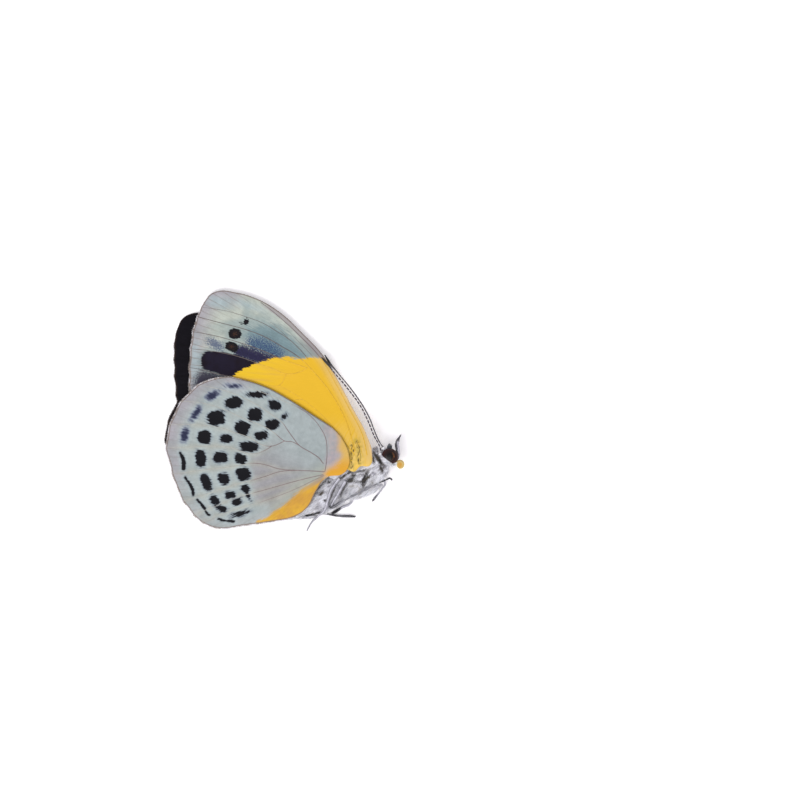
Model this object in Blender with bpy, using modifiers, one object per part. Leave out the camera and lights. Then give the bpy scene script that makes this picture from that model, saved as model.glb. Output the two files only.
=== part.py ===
"""A dried butterfly with its wings closed, lying on its left side.

The row frame is the surface it lies on: +Z up, +X towards the head, +Y towards the wing tips.
Its origin is the middle of the outline, on the surface. Sizes in this file are millimetres.
"""

import math

import bmesh
import bpy
from mathutils import Vector

MM = 0.001

# Wings
WING_THICK = 0.16
SHEET_CELL = 1.25
CUTTER_HEIGHT = 12.0
FOREWING_HINGE = (10.8, -7.85)
HINDWING_HINGE = (7.4, -8.55)
LEFT_FOREWING_TURN = 9.0
LEFT_HINDWING_TURN = -2.2

# Heights of the closed wings, measured at the middle of each sheet
LEFT_HINDWING_Z = WING_THICK / 2
LEFT_FOREWING_Z = 0.36
UPPER_OUTER_Z = 0.66
UPPER_ROOT_Z = 4.32
UPPER_REAR_Z = 2.35
UPPER_FALL = 6.0
HINDWING_LIFT = 0.36
LEFT_DROOP = 0.16
LEFT_DROOP_FROM, LEFT_DROOP_TO = -11.0, -16.0

# Body
BODY_TURN = 31.7
BODY_Z = 2.3
THORAX_CENTRE = (9.9, -8.3)
THORAX_HALF = (4.0, 3.1, 1.6)
HEAD_CENTRE = (14.4, -6.45)
HEAD_HALF = (1.25, 1.3, 0.95)
EYE_CENTRE = (14.7, -6.3)
EYE_HALF = (1.15, 0.98, 0.6)
EYE_TURN = -35.6
EYE_OFFSET_Z = 0.68
GAP = 0.1

# Outlines in the row frame, as the right wings lie
FOREWING_OUTLINE = (
    (11.9, -7.7), (12.15, -5.8), (11.35, -3.1), (9.5, 0.45), (7.5, 4.2), (5.45, 7.65), (2.5, 10.85),
    (-0.75, 13.85), (-3.95, 15.7), (-7.15, 16.65), (-9.4, 16.75), (-10.7, 15.95), (-12.05, 13.45),
    (-12.95, 10.95), (-13.3, 8.0), (-13.5, 4.35), (-13.2, 1.1), (-11.8, -1.4), (-4.2, -4.2),
    (3.5, -6.45), (8.9, -8.2),
)
HINDWING_OUTLINE = (
    (8.1, -8.6), (8.9, -7.5), (8.9, -6.15), (8.3, -4.25), (7.1, -2.7), (4.0, -0.55), (0.65, 1.6),
    (-2.65, 3.35), (-5.95, 4.4), (-8.6, 4.8), (-11.4, 4.0), (-14.0, 1.95), (-15.85, -1.05),
    (-16.7, -4.5), (-16.6, -5.7), (-15.95, -7.65), (-14.7, -11.45), (-13.0, -14.1), (-10.9, -15.8),
    (-8.8, -16.4), (-5.9, -16.05), (-1.8, -15.45), (1.65, -14.6), (3.3, -13.3), (4.5, -11.05),
    (5.9, -9.2),
)

# Colours: base colour, roughness
PALE_BLUE_WING = ((0.46, 0.53, 0.54), 0.6)
ORANGE_WING = ((0.85, 0.52, 0.06), 0.6)
BLACK_WING = ((0.02, 0.015, 0.02), 0.55)
GREY_HAIR = ((0.55, 0.55, 0.58), 0.9)
BROWN_EYE = ((0.03, 0.012, 0.008), 0.2)
DARK_SCALE = ((0.08, 0.08, 0.09), 0.6)
PALE_SCALE = ((0.45, 0.45, 0.48), 0.7)
AMBER = ((0.75, 0.42, 0.08), 0.35)


def clear_scene():
    for obj in list(bpy.data.objects):
        bpy.data.objects.remove(obj, do_unlink=True)


def new_collection(name):
    made = bpy.data.collections.new(name)
    bpy.context.scene.collection.children.link(made)
    return made


def new_material(name, colour, roughness):
    made = bpy.data.materials.new(name)
    made.use_nodes = True
    shader = made.node_tree.nodes["Principled BSDF"]
    shader.inputs["Base Color"].default_value = (*colour, 1.0)
    shader.inputs["Roughness"].default_value = roughness
    shader.inputs["Metallic"].default_value = 0.0
    return made


def add_part(obj, finish):
    """Files a sub-part, with a material of its own."""
    parts.objects.link(obj)
    obj.data.materials.clear()
    obj.data.materials.append(new_material(obj.name, *finish))
    return obj


def add_cutter(obj):
    cutters.objects.link(obj)
    obj.hide_render = True
    obj.display_type = "WIRE"
    return obj


def along_body(x, y):
    """A point of the row frame as (towards the head, towards the back) from the thorax's middle."""
    turn = math.radians(BODY_TURN)
    dx, dy = x - THORAX_CENTRE[0], y - THORAX_CENTRE[1]
    return dx * math.cos(turn) + dy * math.sin(turn), dy * math.cos(turn) - dx * math.sin(turn)


def thorax_side(x, y):
    """How far the thorax's flank stands out from the middle plane of the body at this point."""
    ahead, up = along_body(x, y)
    inside = 1 - (ahead / THORAX_HALF[0]) ** 2 - (up / THORAX_HALF[1]) ** 2
    return THORAX_HALF[2] * math.sqrt(max(inside, 0.0))


def upper_z(x, y):
    """Height of the right wings: they rise from the edges to lie on the thorax and the abdomen."""
    root, rear = Vector(FOREWING_HINGE), Vector((1.0, -15.0))
    spine = rear - root
    share = min(max((Vector((x, y)) - root).dot(spine) / spine.length_squared, 0), 1)
    away = (Vector((x, y)) - root - spine * share).length
    ridge = UPPER_ROOT_Z + (UPPER_REAR_Z - UPPER_ROOT_Z) * share
    return UPPER_OUTER_Z + (ridge - UPPER_OUTER_Z) / (1 + (away / UPPER_FALL) ** 2)


def right_hindwing_z(x, y):
    return upper_z(x, y) + HINDWING_LIFT


def left_forewing_z(x, y):
    """Lies flat on the left hindwing, and droops a little where it stands out past it."""
    share = (x - LEFT_DROOP_FROM) / (LEFT_DROOP_TO - LEFT_DROOP_FROM)
    return LEFT_FOREWING_Z - LEFT_DROOP * min(max(share, 0), 1)


def left_hindwing_z(x, y):
    return LEFT_HINDWING_Z


def outline_cutter(name, outline, hinge, turn):
    """A tall prism of the wing's outline, with its origin on the hinge."""
    curve = bpy.data.curves.new(name, "CURVE")
    curve.dimensions = "2D"
    curve.fill_mode = "BOTH"
    curve.extrude = CUTTER_HEIGHT * MM
    curve.resolution_u = 4
    spline = curve.splines.new("BEZIER")
    spline.use_cyclic_u = True
    spline.bezier_points.add(len(outline) - 1)
    for point, (x, y) in zip(spline.bezier_points, outline):
        point.co = ((x - hinge[0]) * MM, (y - hinge[1]) * MM, 0)
        point.handle_left_type = point.handle_right_type = "AUTO"
    guide = bpy.data.objects.new(name + "_guide", curve)
    cutters.objects.link(guide)
    bpy.context.view_layer.update()
    graph = bpy.context.evaluated_depsgraph_get()
    mesh = bpy.data.meshes.new_from_object(guide.evaluated_get(graph))
    bpy.data.objects.remove(guide)
    work = bmesh.new()
    work.from_mesh(mesh)
    bmesh.ops.remove_doubles(work, verts=work.verts, dist=1e-6)
    bmesh.ops.recalc_face_normals(work, faces=work.faces)
    work.to_mesh(mesh)
    work.free()
    cutter = add_cutter(bpy.data.objects.new(name, mesh))
    cutter.location = (hinge[0] * MM, hinge[1] * MM, 0)
    cutter.rotation_euler = (0, 0, math.radians(turn))
    return cutter


def add_wing(name, outline, hinge, turn, height, finish, cell=SHEET_CELL):
    """A sheet over the wing's extent, raised to its height, thickened and cut to the outline."""
    cutter = outline_cutter(name + "_outline", outline, hinge, turn)
    bpy.context.view_layer.update()
    corners = [cutter.matrix_world @ Vector(corner) / MM for corner in cutter.bound_box]
    low = Vector((min(c.x for c in corners), min(c.y for c in corners)))
    high = Vector((max(c.x for c in corners), max(c.y for c in corners)))
    half = max(high - low) / 2 + cell
    middle = (low + high) / 2
    work = bmesh.new()
    steps = round(2 * half / cell)
    bmesh.ops.create_grid(work, x_segments=steps, y_segments=steps, size=half)
    for vert in work.verts:
        x, y = vert.co.x + middle.x, vert.co.y + middle.y
        vert.co = Vector((x - hinge[0], y - hinge[1], height(x, y))) * MM
    mesh = bpy.data.meshes.new(name)
    work.to_mesh(mesh)
    work.free()
    wing = add_part(bpy.data.objects.new(name, mesh), finish)
    wing.location = (hinge[0] * MM, hinge[1] * MM, 0)
    solidify = wing.modifiers.new("thickness", "SOLIDIFY")
    solidify.thickness = WING_THICK * MM
    solidify.offset = 0
    outline_cut = wing.modifiers.new("outline", "BOOLEAN")
    outline_cut.operation = "INTERSECT"
    outline_cut.object = cutter
    return wing


def ellipsoid_mesh(name, half, segments, rings, fullness=1.0):
    """A ball of these half sizes. A fullness under 1 squares it a little, as a packed body is."""
    work = bmesh.new()
    bmesh.ops.create_uvsphere(work, u_segments=segments, v_segments=rings, radius=1)
    for vert in work.verts:
        squared = [math.copysign(abs(c) ** fullness, c) for c in vert.co]
        vert.co = Vector(c * size * MM for c, size in zip(squared, half))
    mesh = bpy.data.meshes.new(name)
    work.to_mesh(mesh)
    work.free()
    mesh.shade_smooth()
    return mesh


def add_ellipsoid(name, centre, half, turn, finish, segments=20, rings=12):
    ball = bpy.data.objects.new(name, ellipsoid_mesh(name, half, segments, rings))
    ball.location = Vector(centre) * MM
    ball.rotation_euler = (0, 0, math.radians(turn))
    return add_part(ball, finish)


def cut_socket(target, name, centre, half, turn):
    """Leaves room in target for a rounded neighbour, with the gap between them."""
    grown = [size + GAP for size in half]
    socket = add_cutter(bpy.data.objects.new(name, ellipsoid_mesh(name, grown, 20, 12)))
    socket.location = Vector(centre) * MM
    socket.rotation_euler = (0, 0, math.radians(turn))
    cut = target.modifiers.new(name, "BOOLEAN")
    cut.operation = "DIFFERENCE"
    cut.object = socket


def add_limb(name, route, finish, resolution=3, sides=2):
    """A tapering round limb: route is a list of (x, y, z, radius)."""
    curve = bpy.data.curves.new(name, "CURVE")
    curve.dimensions = "3D"
    curve.bevel_depth = MM
    curve.bevel_resolution = sides
    curve.use_fill_caps = True
    curve.resolution_u = resolution
    spline = curve.splines.new("BEZIER")
    spline.bezier_points.add(len(route) - 1)
    for point, (x, y, z, radius) in zip(spline.bezier_points, route):
        point.co = (x * MM, y * MM, z * MM)
        point.radius = radius
        point.handle_left_type = point.handle_right_type = "AUTO"
    return add_part(bpy.data.objects.new(name, curve), finish)


def build_wings():
    add_wing("right_forewing", FOREWING_OUTLINE, FOREWING_HINGE, 0, upper_z, ORANGE_WING)
    add_wing(
        "right_hindwing", HINDWING_OUTLINE, HINDWING_HINGE, 0, right_hindwing_z, PALE_BLUE_WING
    )
    add_wing(
        "left_forewing", FOREWING_OUTLINE, FOREWING_HINGE, LEFT_FOREWING_TURN, left_forewing_z,
        BLACK_WING, cell=2.5,
    )
    add_wing(
        "left_hindwing", HINDWING_OUTLINE, HINDWING_HINGE, LEFT_HINDWING_TURN, left_hindwing_z,
        BLACK_WING, cell=6.0,
    )


def build_body():
    thorax_at = (*THORAX_CENTRE, BODY_Z)
    add_ellipsoid("thorax", thorax_at, THORAX_HALF, BODY_TURN, GREY_HAIR, 28, 16)
    abdomen = add_limb(
        "abdomen",
        (
            (7.9, -10.0, 2.1, 0.9), (6.6, -11.2, 1.98, 1.32), (4.7, -12.75, 1.8, 1.18),
            (2.6, -14.05, 1.55, 0.9), (0.9, -14.95, 1.35, 0.5), (0.3, -15.2, 1.3, 0.2),
        ),
        GREY_HAIR, resolution=4, sides=5,
    )
    # A Boolean takes a mesh, so the abdomen's tube is made one before its front is cut
    bpy.context.view_layer.update()
    graph = bpy.context.evaluated_depsgraph_get()
    mesh = bpy.data.meshes.new_from_object(abdomen.evaluated_get(graph))
    bpy.data.objects.remove(abdomen)
    work = bmesh.new()
    work.from_mesh(mesh)
    bmesh.ops.remove_doubles(work, verts=work.verts, dist=1e-6)
    work.to_mesh(mesh)
    work.free()
    abdomen = add_part(bpy.data.objects.new("abdomen", mesh), GREY_HAIR)
    cut_socket(abdomen, "thorax_socket", thorax_at, THORAX_HALF, BODY_TURN)

    head = add_ellipsoid("head", (*HEAD_CENTRE, BODY_Z), HEAD_HALF, BODY_TURN, GREY_HAIR, 24, 14)
    cut_socket(head, "neck_socket", thorax_at, THORAX_HALF, BODY_TURN)
    for side, sign in (("right", 1), ("left", -1)):
        eye_at = (*EYE_CENTRE, BODY_Z + sign * EYE_OFFSET_Z)
        add_ellipsoid(side + "_eye", eye_at, EYE_HALF, EYE_TURN, BROWN_EYE)
        cut_socket(head, side + "_eye_socket", eye_at, EYE_HALF, EYE_TURN)


def build_mouth():
    # The left palp lies right under the right one
    stations = (
        (15.65, -6.75, 0.1), (15.85, -6.1, 0.17), (15.75, -5.2, 0.24), (15.68, -4.5, 0.26),
        (15.9, -3.85, 0.15), (16.22, -3.3, 0.03),
    )
    for side, z in (("right", 2.65), ("left", 1.95)):
        add_limb(side + "_palp", [(x, y, z, radius) for x, y, radius in stations], DARK_SCALE)

    # The proboscis is coiled like a watch spring under the face, and its root runs into the mouth
    centre, z = (16.15, -7.4), 2.3
    turns, steps, end_angle = 2.4, 40, math.radians(120)
    inner, outer, tube, root = 0.16, 0.5, 0.06, 0.28
    coil = bpy.data.curves.new("proboscis", "CURVE")
    coil.dimensions = "3D"
    coil.bevel_depth = tube * MM
    coil.bevel_resolution = 1
    coil.use_fill_caps = True
    spline = coil.splines.new("POLY")
    spline.points.add(steps + 1)
    for step in range(steps + 1):
        share = step / steps
        radius = inner + (outer - inner) * share
        angle = end_angle + math.tau * turns * (share - 1)
        x = centre[0] + radius * math.cos(angle)
        y = centre[1] + radius * math.sin(angle)
        spline.points[step].co = (x * MM, y * MM, z * MM, 1)
    x -= root * math.sin(end_angle)
    y += root * math.cos(end_angle)
    spline.points[-1].co = (x * MM, y * MM, z * MM, 1)
    add_part(bpy.data.objects.new("proboscis", coil), AMBER)


def build_antennae():
    """Each is a thin stalk that swells to a club, beside the front edge of the forewing."""
    routes = {
        "right": (
            (13.35, -5.1), (12.95, -4.3), (11.8, -1.95), (10.6, 0.55), (8.3, 3.7), (6.4, 6.1),
            (5.9, 6.7), (5.25, 7.45),
        ),
        "left": (
            (13.75, -5.0), (13.2, -4.2), (12.65, -3.0), (11.7, -0.65), (9.9, 2.25), (7.5, 5.25),
            (6.5, 6.4), (5.6, 7.85),
        ),
    }
    radii = (0.11, 0.09, 0.08, 0.08, 0.08, 0.1, 0.19, 0.12)
    heights = {"right": (2.75, 1.95), "left": (2.1, 1.4)}
    for side, route in routes.items():
        base, tip = heights[side]
        last = len(route) - 1
        points = [
            (x, y, base + (tip - base) * index / last, radius)
            for index, ((x, y), radius) in enumerate(zip(route, radii))
        ]
        add_limb(side + "_antenna", points, DARK_SCALE, resolution=4, sides=1)


def hip_z(x, y, radius, side):
    """Height of a leg's root that lies on the flank, side 1 for the right legs and -1 for the left."""
    return BODY_Z + side * (thorax_side(x, y) + GAP + radius)


def add_leg(name, side, hip, rest, finish):
    """hip is (x, y, radius) on the thorax's flank, and rest the leg's further (x, y, z, radius)."""
    x, y, radius = hip
    return add_limb(name, [(x, y, hip_z(x, y, radius, side), radius), *rest], finish, 3, 1)


def build_legs():
    add_leg(
        "right_midleg", 1, (8.5, -9.7, 0.2),
        (
            (7.35, -11.7, 3.6, 0.16), (6.6, -13.0, 2.85, 0.13), (6.5, -13.3, 2.7, 0.12),
            (6.8, -13.3, 2.7, 0.12), (7.9, -12.65, 2.8, 0.13), (9.75, -11.75, 3.2, 0.13),
            (12.2, -10.5, 2.9, 0.1), (14.2, -9.6, 2.4, 0.09), (14.95, -9.5, 2.2, 0.08),
        ),
        DARK_SCALE,
    )
    add_leg(
        "right_hindleg", 1, (7.7, -9.3, 0.2),
        (
            (6.6, -10.8, 3.75, 0.17), (6.1, -12.3, 3.5, 0.15), (5.6, -13.75, 2.6, 0.13),
            (4.65, -14.65, 1.7, 0.11), (3.75, -15.55, 0.9, 0.09), (3.15, -16.65, 0.25, 0.08),
        ),
        PALE_SCALE,
    )
    add_leg(
        "right_foreleg", 1, (12.1, -8.7, 0.12),
        (
            (13.3, -8.75, 3.1, 0.12), (14.1, -8.75, 2.8, 0.1), (14.05, -9.0, 2.7, 0.1),
            (13.3, -9.25, 2.6, 0.07),
        ),
        PALE_SCALE,
    )
    add_leg(
        "left_midleg", -1, (9.9, -10.4, 0.17),
        (
            (9.4, -12.3, 0.5, 0.14), (9.1, -13.0, 0.4, 0.12), (8.0, -13.5, 0.3, 0.11),
            (6.7, -14.1, 0.2, 0.09),
        ),
        DARK_SCALE,
    )
    add_leg(
        "left_hindleg", -1, (8.6, -9.9, 0.12),
        (
            (6.0, -11.9, 0.42, 0.12), (3.3, -14.2, 0.42, 0.12), (3.15, -14.5, 0.4, 0.11),
            (3.6, -14.6, 0.35, 0.11), (5.3, -14.45, 0.25, 0.1), (7.3, -14.65, 0.2, 0.09),
            (9.65, -14.8, 0.2, 0.08),
        ),
        DARK_SCALE,
    )
    add_leg(
        "left_foreleg", -1, (12.3, -8.8, 0.12),
        (
            (13.6, -10.1, 0.9, 0.11), (13.75, -10.5, 0.75, 0.1), (13.5, -11.0, 0.6, 0.09),
            (12.35, -12.5, 0.2, 0.07),
        ),
        PALE_SCALE,
    )


clear_scene()
parts = new_collection("closed_wing_butterfly")
cutters = new_collection("cutters")
build_wings()
build_body()
build_mouth()
build_antennae()
build_legs()
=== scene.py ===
import math

import bmesh
import bpy
import numpy as np
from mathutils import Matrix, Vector, noise as perlin
from mathutils.geometry import delaunay_2d_cdt


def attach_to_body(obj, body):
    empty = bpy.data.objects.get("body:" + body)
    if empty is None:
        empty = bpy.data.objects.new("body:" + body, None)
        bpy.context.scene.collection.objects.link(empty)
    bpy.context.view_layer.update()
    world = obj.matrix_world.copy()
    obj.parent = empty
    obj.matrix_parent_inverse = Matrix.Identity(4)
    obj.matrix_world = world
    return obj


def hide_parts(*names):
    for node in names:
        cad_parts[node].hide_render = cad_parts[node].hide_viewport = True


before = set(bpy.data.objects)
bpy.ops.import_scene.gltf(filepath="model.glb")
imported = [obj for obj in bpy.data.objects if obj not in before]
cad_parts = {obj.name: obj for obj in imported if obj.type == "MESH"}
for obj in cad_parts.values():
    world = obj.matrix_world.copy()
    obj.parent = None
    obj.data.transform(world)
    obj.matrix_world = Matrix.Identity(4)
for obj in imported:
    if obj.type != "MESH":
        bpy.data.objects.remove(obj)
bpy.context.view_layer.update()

mm = 0.001  # places below are in millimetres, in the frame's own axes
scene = bpy.context.scene

studio = {
    "lens": 100,
    "aim": (16.1, 1.54),  # what lies under the middle of the picture
    "distance": 311.1,
    "worldLight": 0.8,
    "worldTint": (0.985, 0.975, 1, 1),
    "keyPlace": (-180, -260, 420),
    "keySize": 320,
    "keyPower": 1.6,
    "floorSize": 4000,
    "floorTint": (0.93, 0.91605, 0.93372, 1),
    "floorGlow": 0.24,
    "glowTint": (1, 0.985, 1, 1),
}


# Small helpers: colours, curves and distances

def shade(red, green, blue):
    # a colour as a picture shows it, 0 to 255, made linear
    def linear(level):
        level /= 255
        return level / 12.92 if level <= 0.04045 else ((level + 0.055) / 1.055) ** 2.4
    return (linear(red), linear(green), linear(blue), 1)


autoHandle = 2.5614  # what the way through a point is divided by for its automatic handles


def smoothPath(points, spacing, closed=False):
    # a Bezier with automatic handles, cut at even steps; columns past the third are carried along
    points = np.array(points, float)
    places = points[:, :3]
    if closed:
        before, after = np.roll(points, 1, 0), np.roll(points, -1, 0)
    else:
        before = np.vstack((2 * points[0] - points[1], points[:-1]))
        after = np.vstack((points[1:], 2 * points[-1] - points[-2]))
    backLength = np.linalg.norm(places - before[:, :3], axis=1)[:, None]
    aheadLength = np.linalg.norm(after[:, :3] - places, axis=1)[:, None]
    way = (points - before) / backLength + (after - points) / aheadLength
    way /= autoHandle * np.linalg.norm(way[:, :3], axis=1)[:, None]
    samples = []
    share = np.linspace(0, 1, 16, endpoint=False)[:, None]
    for first in range(len(points) - (not closed)):
        last = (first + 1) % len(points)
        start, end = points[first], points[last]
        leave, arrive = start + way[first] * aheadLength[first], end - way[last] * backLength[last]
        samples.append(
            start * (1 - share) ** 3 + 3 * leave * share * (1 - share) ** 2
            + 3 * arrive * share ** 2 * (1 - share) + end * share ** 3
        )
    samples = np.vstack(samples + [points[:1] if closed else points[-1:]])
    steps = np.linalg.norm(np.diff(samples[:, :3], axis=0), axis=1)
    run = np.concatenate(([0], np.cumsum(steps)))
    count = max(3, round(run[-1] / spacing))
    marks = np.linspace(0, run[-1], count + 1)
    even = np.column_stack([np.interp(marks, run, column) for column in samples.T])
    return even[:-1] if closed else even


def distanceTo(places, path, closed=False):
    best = np.full(len(places), 1e9)
    ends = np.roll(path, -1, 0) if closed else path[1:]
    for start, end in zip(path, ends):
        run = end - start
        share = np.clip((places - start) @ run / max(run @ run, 1e-12), 0, 1)
        best = np.minimum(best, np.linalg.norm(places - start - share[:, None] * run, axis=1))
    return best


def isInside(places, loop):
    crossed = np.zeros(len(places), bool)
    for start, end in zip(loop, np.roll(loop, -1, 0)):
        if start[1] == end[1]:
            continue
        spans = (places[:, 1] > start[1]) != (places[:, 1] > end[1])
        reach = start[0] + (places[:, 1] - start[1]) / (end[1] - start[1]) * (end[0] - start[0])
        crossed ^= spans & (places[:, 0] < reach)
    return crossed


def patchDistance(places, outline, spacing=0.3):
    # how far each place is outside a rounded patch, and below nothing inside it
    loop = smoothPath(outline, spacing, closed=True)
    far = distanceTo(places, loop, closed=True)
    return np.where(isInside(places, loop), -far, far)


def spotDistance(places, spots, squareness=2.7):
    # the same for a set of roundish spots, each x, y, width, height and tilt
    best = np.full(len(places), 1e9)
    for x, y, width, height, tilt in spots:
        turn = math.radians(tilt)
        right, up = places[:, 0] - x, places[:, 1] - y
        across = np.abs(right * math.cos(turn) + up * math.sin(turn)) * 2 / width
        upward = np.abs(up * math.cos(turn) - right * math.sin(turn)) * 2 / height
        far = (across ** squareness + upward ** squareness) ** (1 / squareness) - 1
        best = np.minimum(best, far * min(width, height) / 2)
    return best


def ease(values, low, high):
    share = np.clip((values - low) / (high - low), 0, 1)
    return share * share * (3 - 2 * share)


def nearest(places, paths):
    return np.min([distanceTo(places, path) for path in paths], axis=0)


def planeAxes(degrees):
    # two directions along the floor, at right angles and turned by so much
    turn = math.radians(degrees)
    return np.array((math.cos(turn), math.sin(turn), 0)), np.array((-math.sin(turn), math.cos(turn), 0))


def unitBall(subdivisions):
    ball = bmesh.new()
    bmesh.ops.create_icosphere(ball, subdivisions=subdivisions, radius=1)
    points = np.array([tuple(vert.co) for vert in ball.verts])
    faces = [tuple(vert.index for vert in face.verts) for face in ball.faces]
    ball.free()
    return points, faces


def fractal(points, size, octaves, shift=(0, 0, 0)):
    # how rough a skin is at each of its points
    places = [Vector(point) * size + Vector(shift) for point in points]
    return np.array([perlin.fractal(place, 1, 2, octaves) for place in places])


def addObject(name, data, *materials):
    made = bpy.data.objects.new(name, data)
    scene.collection.objects.link(made)
    for material in materials:
        data.materials.append(material)
    return made


def meshFrom(name, points, faces=(), edges=(), smooth=True, **attributes):
    # points in millimetres; every attribute is one number or one vector a point
    mesh = bpy.data.meshes.new(name)
    mesh.from_pydata((np.asarray(points, float) * mm).tolist(), list(edges), list(faces))
    for key, values in attributes.items():
        values = np.asarray(values, np.float32)
        kind, field = ("FLOAT", "value") if values.ndim == 1 else ("FLOAT_VECTOR", "vector")
        mesh.attributes.new(key, kind, "POINT").data.foreach_set(field, values.ravel())
    if smooth and len(mesh.polygons):
        mesh.shade_smooth()
    return mesh


def attach(piece, node, replace=True):
    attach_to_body(piece, "root")
    if replace:
        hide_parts(node)


# Materials and growth trees share these ways of adding nodes, each of which returns a socket

class NodeTree:
    def node(self, kind, feeds, output=0, **settings):
        made = self.tree.nodes.new(kind)
        for key, value in settings.items():
            setattr(made, key, value)
        for key, value in feeds.items():
            if isinstance(value, bpy.types.NodeSocket):
                self.tree.links.new(value, made.inputs[key])
            else:
                made.inputs[key].default_value = value
        return made.outputs[output]

    def maths(self, operation, first, second=0.0):
        return self.node("ShaderNodeMath", {0: first, 1: second}, operation=operation)

    def plus(self, first, second):
        return self.maths("ADD", first, second)

    def times(self, first, second):
        return self.maths("MULTIPLY", first, second)

    def vector(self, x, y=0.0, z=0.0):
        return self.node("ShaderNodeCombineXYZ", {0: x, 1: y, 2: z})

    def vectorMaths(self, operation, first, second, output=0):
        return self.node("ShaderNodeVectorMath", {0: first, 1: second}, output, operation=operation)

    def scaled(self, vector, factor):
        return self.node("ShaderNodeVectorMath", {0: vector, 3: factor}, operation="SCALE")


class Paint(NodeTree):
    # a material as a ground colour under coats
    def __init__(self, name, **sockets):
        self.material = bpy.data.materials.new(name)
        self.material.use_nodes = True
        self.tree = self.material.node_tree
        self.shader = self.tree.nodes["Principled BSDF"]
        self.ground = None
        for key, value in sockets.items():
            self.shader.inputs[key.replace("_", " ")].default_value = value

    def attribute(self, name):
        return super().node("ShaderNodeAttribute", {}, 2, attribute_name=name)

    def node(self, kind, feeds, output=0, **settings):
        # a feed that is a word stands for the attribute of that name
        words = {key: self.attribute(feed) for key, feed in feeds.items() if isinstance(feed, str)}
        return super().node(kind, {**feeds, **words}, output, **settings)

    def place(self):
        # object coordinates in millimetres
        return self.scaled(self.node("ShaderNodeTexCoord", {}, 3), 1 / mm)

    def part(self, vector, axis):
        return self.node("ShaderNodeSeparateXYZ", {0: vector}, axis)

    def noise(self, vector, scale=1.0, detail=2.0, roughness=0.5):
        feeds = {"Vector": vector, "Scale": scale, "Detail": detail, "Roughness": roughness}
        return self.node("ShaderNodeTexNoise", feeds)

    def centred(self, noise):
        return self.maths("SUBTRACT", noise, 0.5)

    def ramp(self, value, low, high, fromLow=0.0, toHigh=1.0):
        feeds = {0: value, 1: low, 2: high, 3: fromLow, 4: toHigh}
        return self.node("ShaderNodeMapRange", feeds, interpolation_type="SMOOTHSTEP")

    def within(self, distance, soft, shift=0.0, jag=None):
        # 1 inside a patch that is grown by shift, 0 outside it, with an edge as soft and ragged as asked
        far = self.maths("SUBTRACT", distance, shift)
        if jag is not None:
            far = self.plus(far, jag)
        return self.ramp(far, -soft, soft, 1.0, 0.0)

    def mix(self, factor, first, second, blend="MIX"):
        feeds = {0: factor, 6: first, 7: second}
        return self.node("ShaderNodeMix", feeds, 2, data_type="RGBA", blend_type=blend)

    def coat(self, colour, mask, strength=1.0):
        # one more colour over what is there
        if strength != 1.0:
            mask = self.times(mask, strength)
        self.ground = self.mix(mask, self.ground, colour)

    def brighten(self, colour, factor):
        return self.mix(1.0, colour, self.vector(factor, factor, factor), "MULTIPLY")

    def uneven(self, colour, fine):
        return self.brighten(colour, self.ramp(fine, 0.3, 0.7, 0.85, 1.1))

    def bump(self, height, depth, strength=1.0):
        made = self.node("ShaderNodeBump", {"Strength": strength, "Distance": depth * mm, "Height": height})
        self.tree.links.new(made, self.shader.inputs["Normal"])

    def finish(self):
        self.tree.links.new(self.ground, self.shader.inputs["Base Color"])
        return self.material


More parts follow.
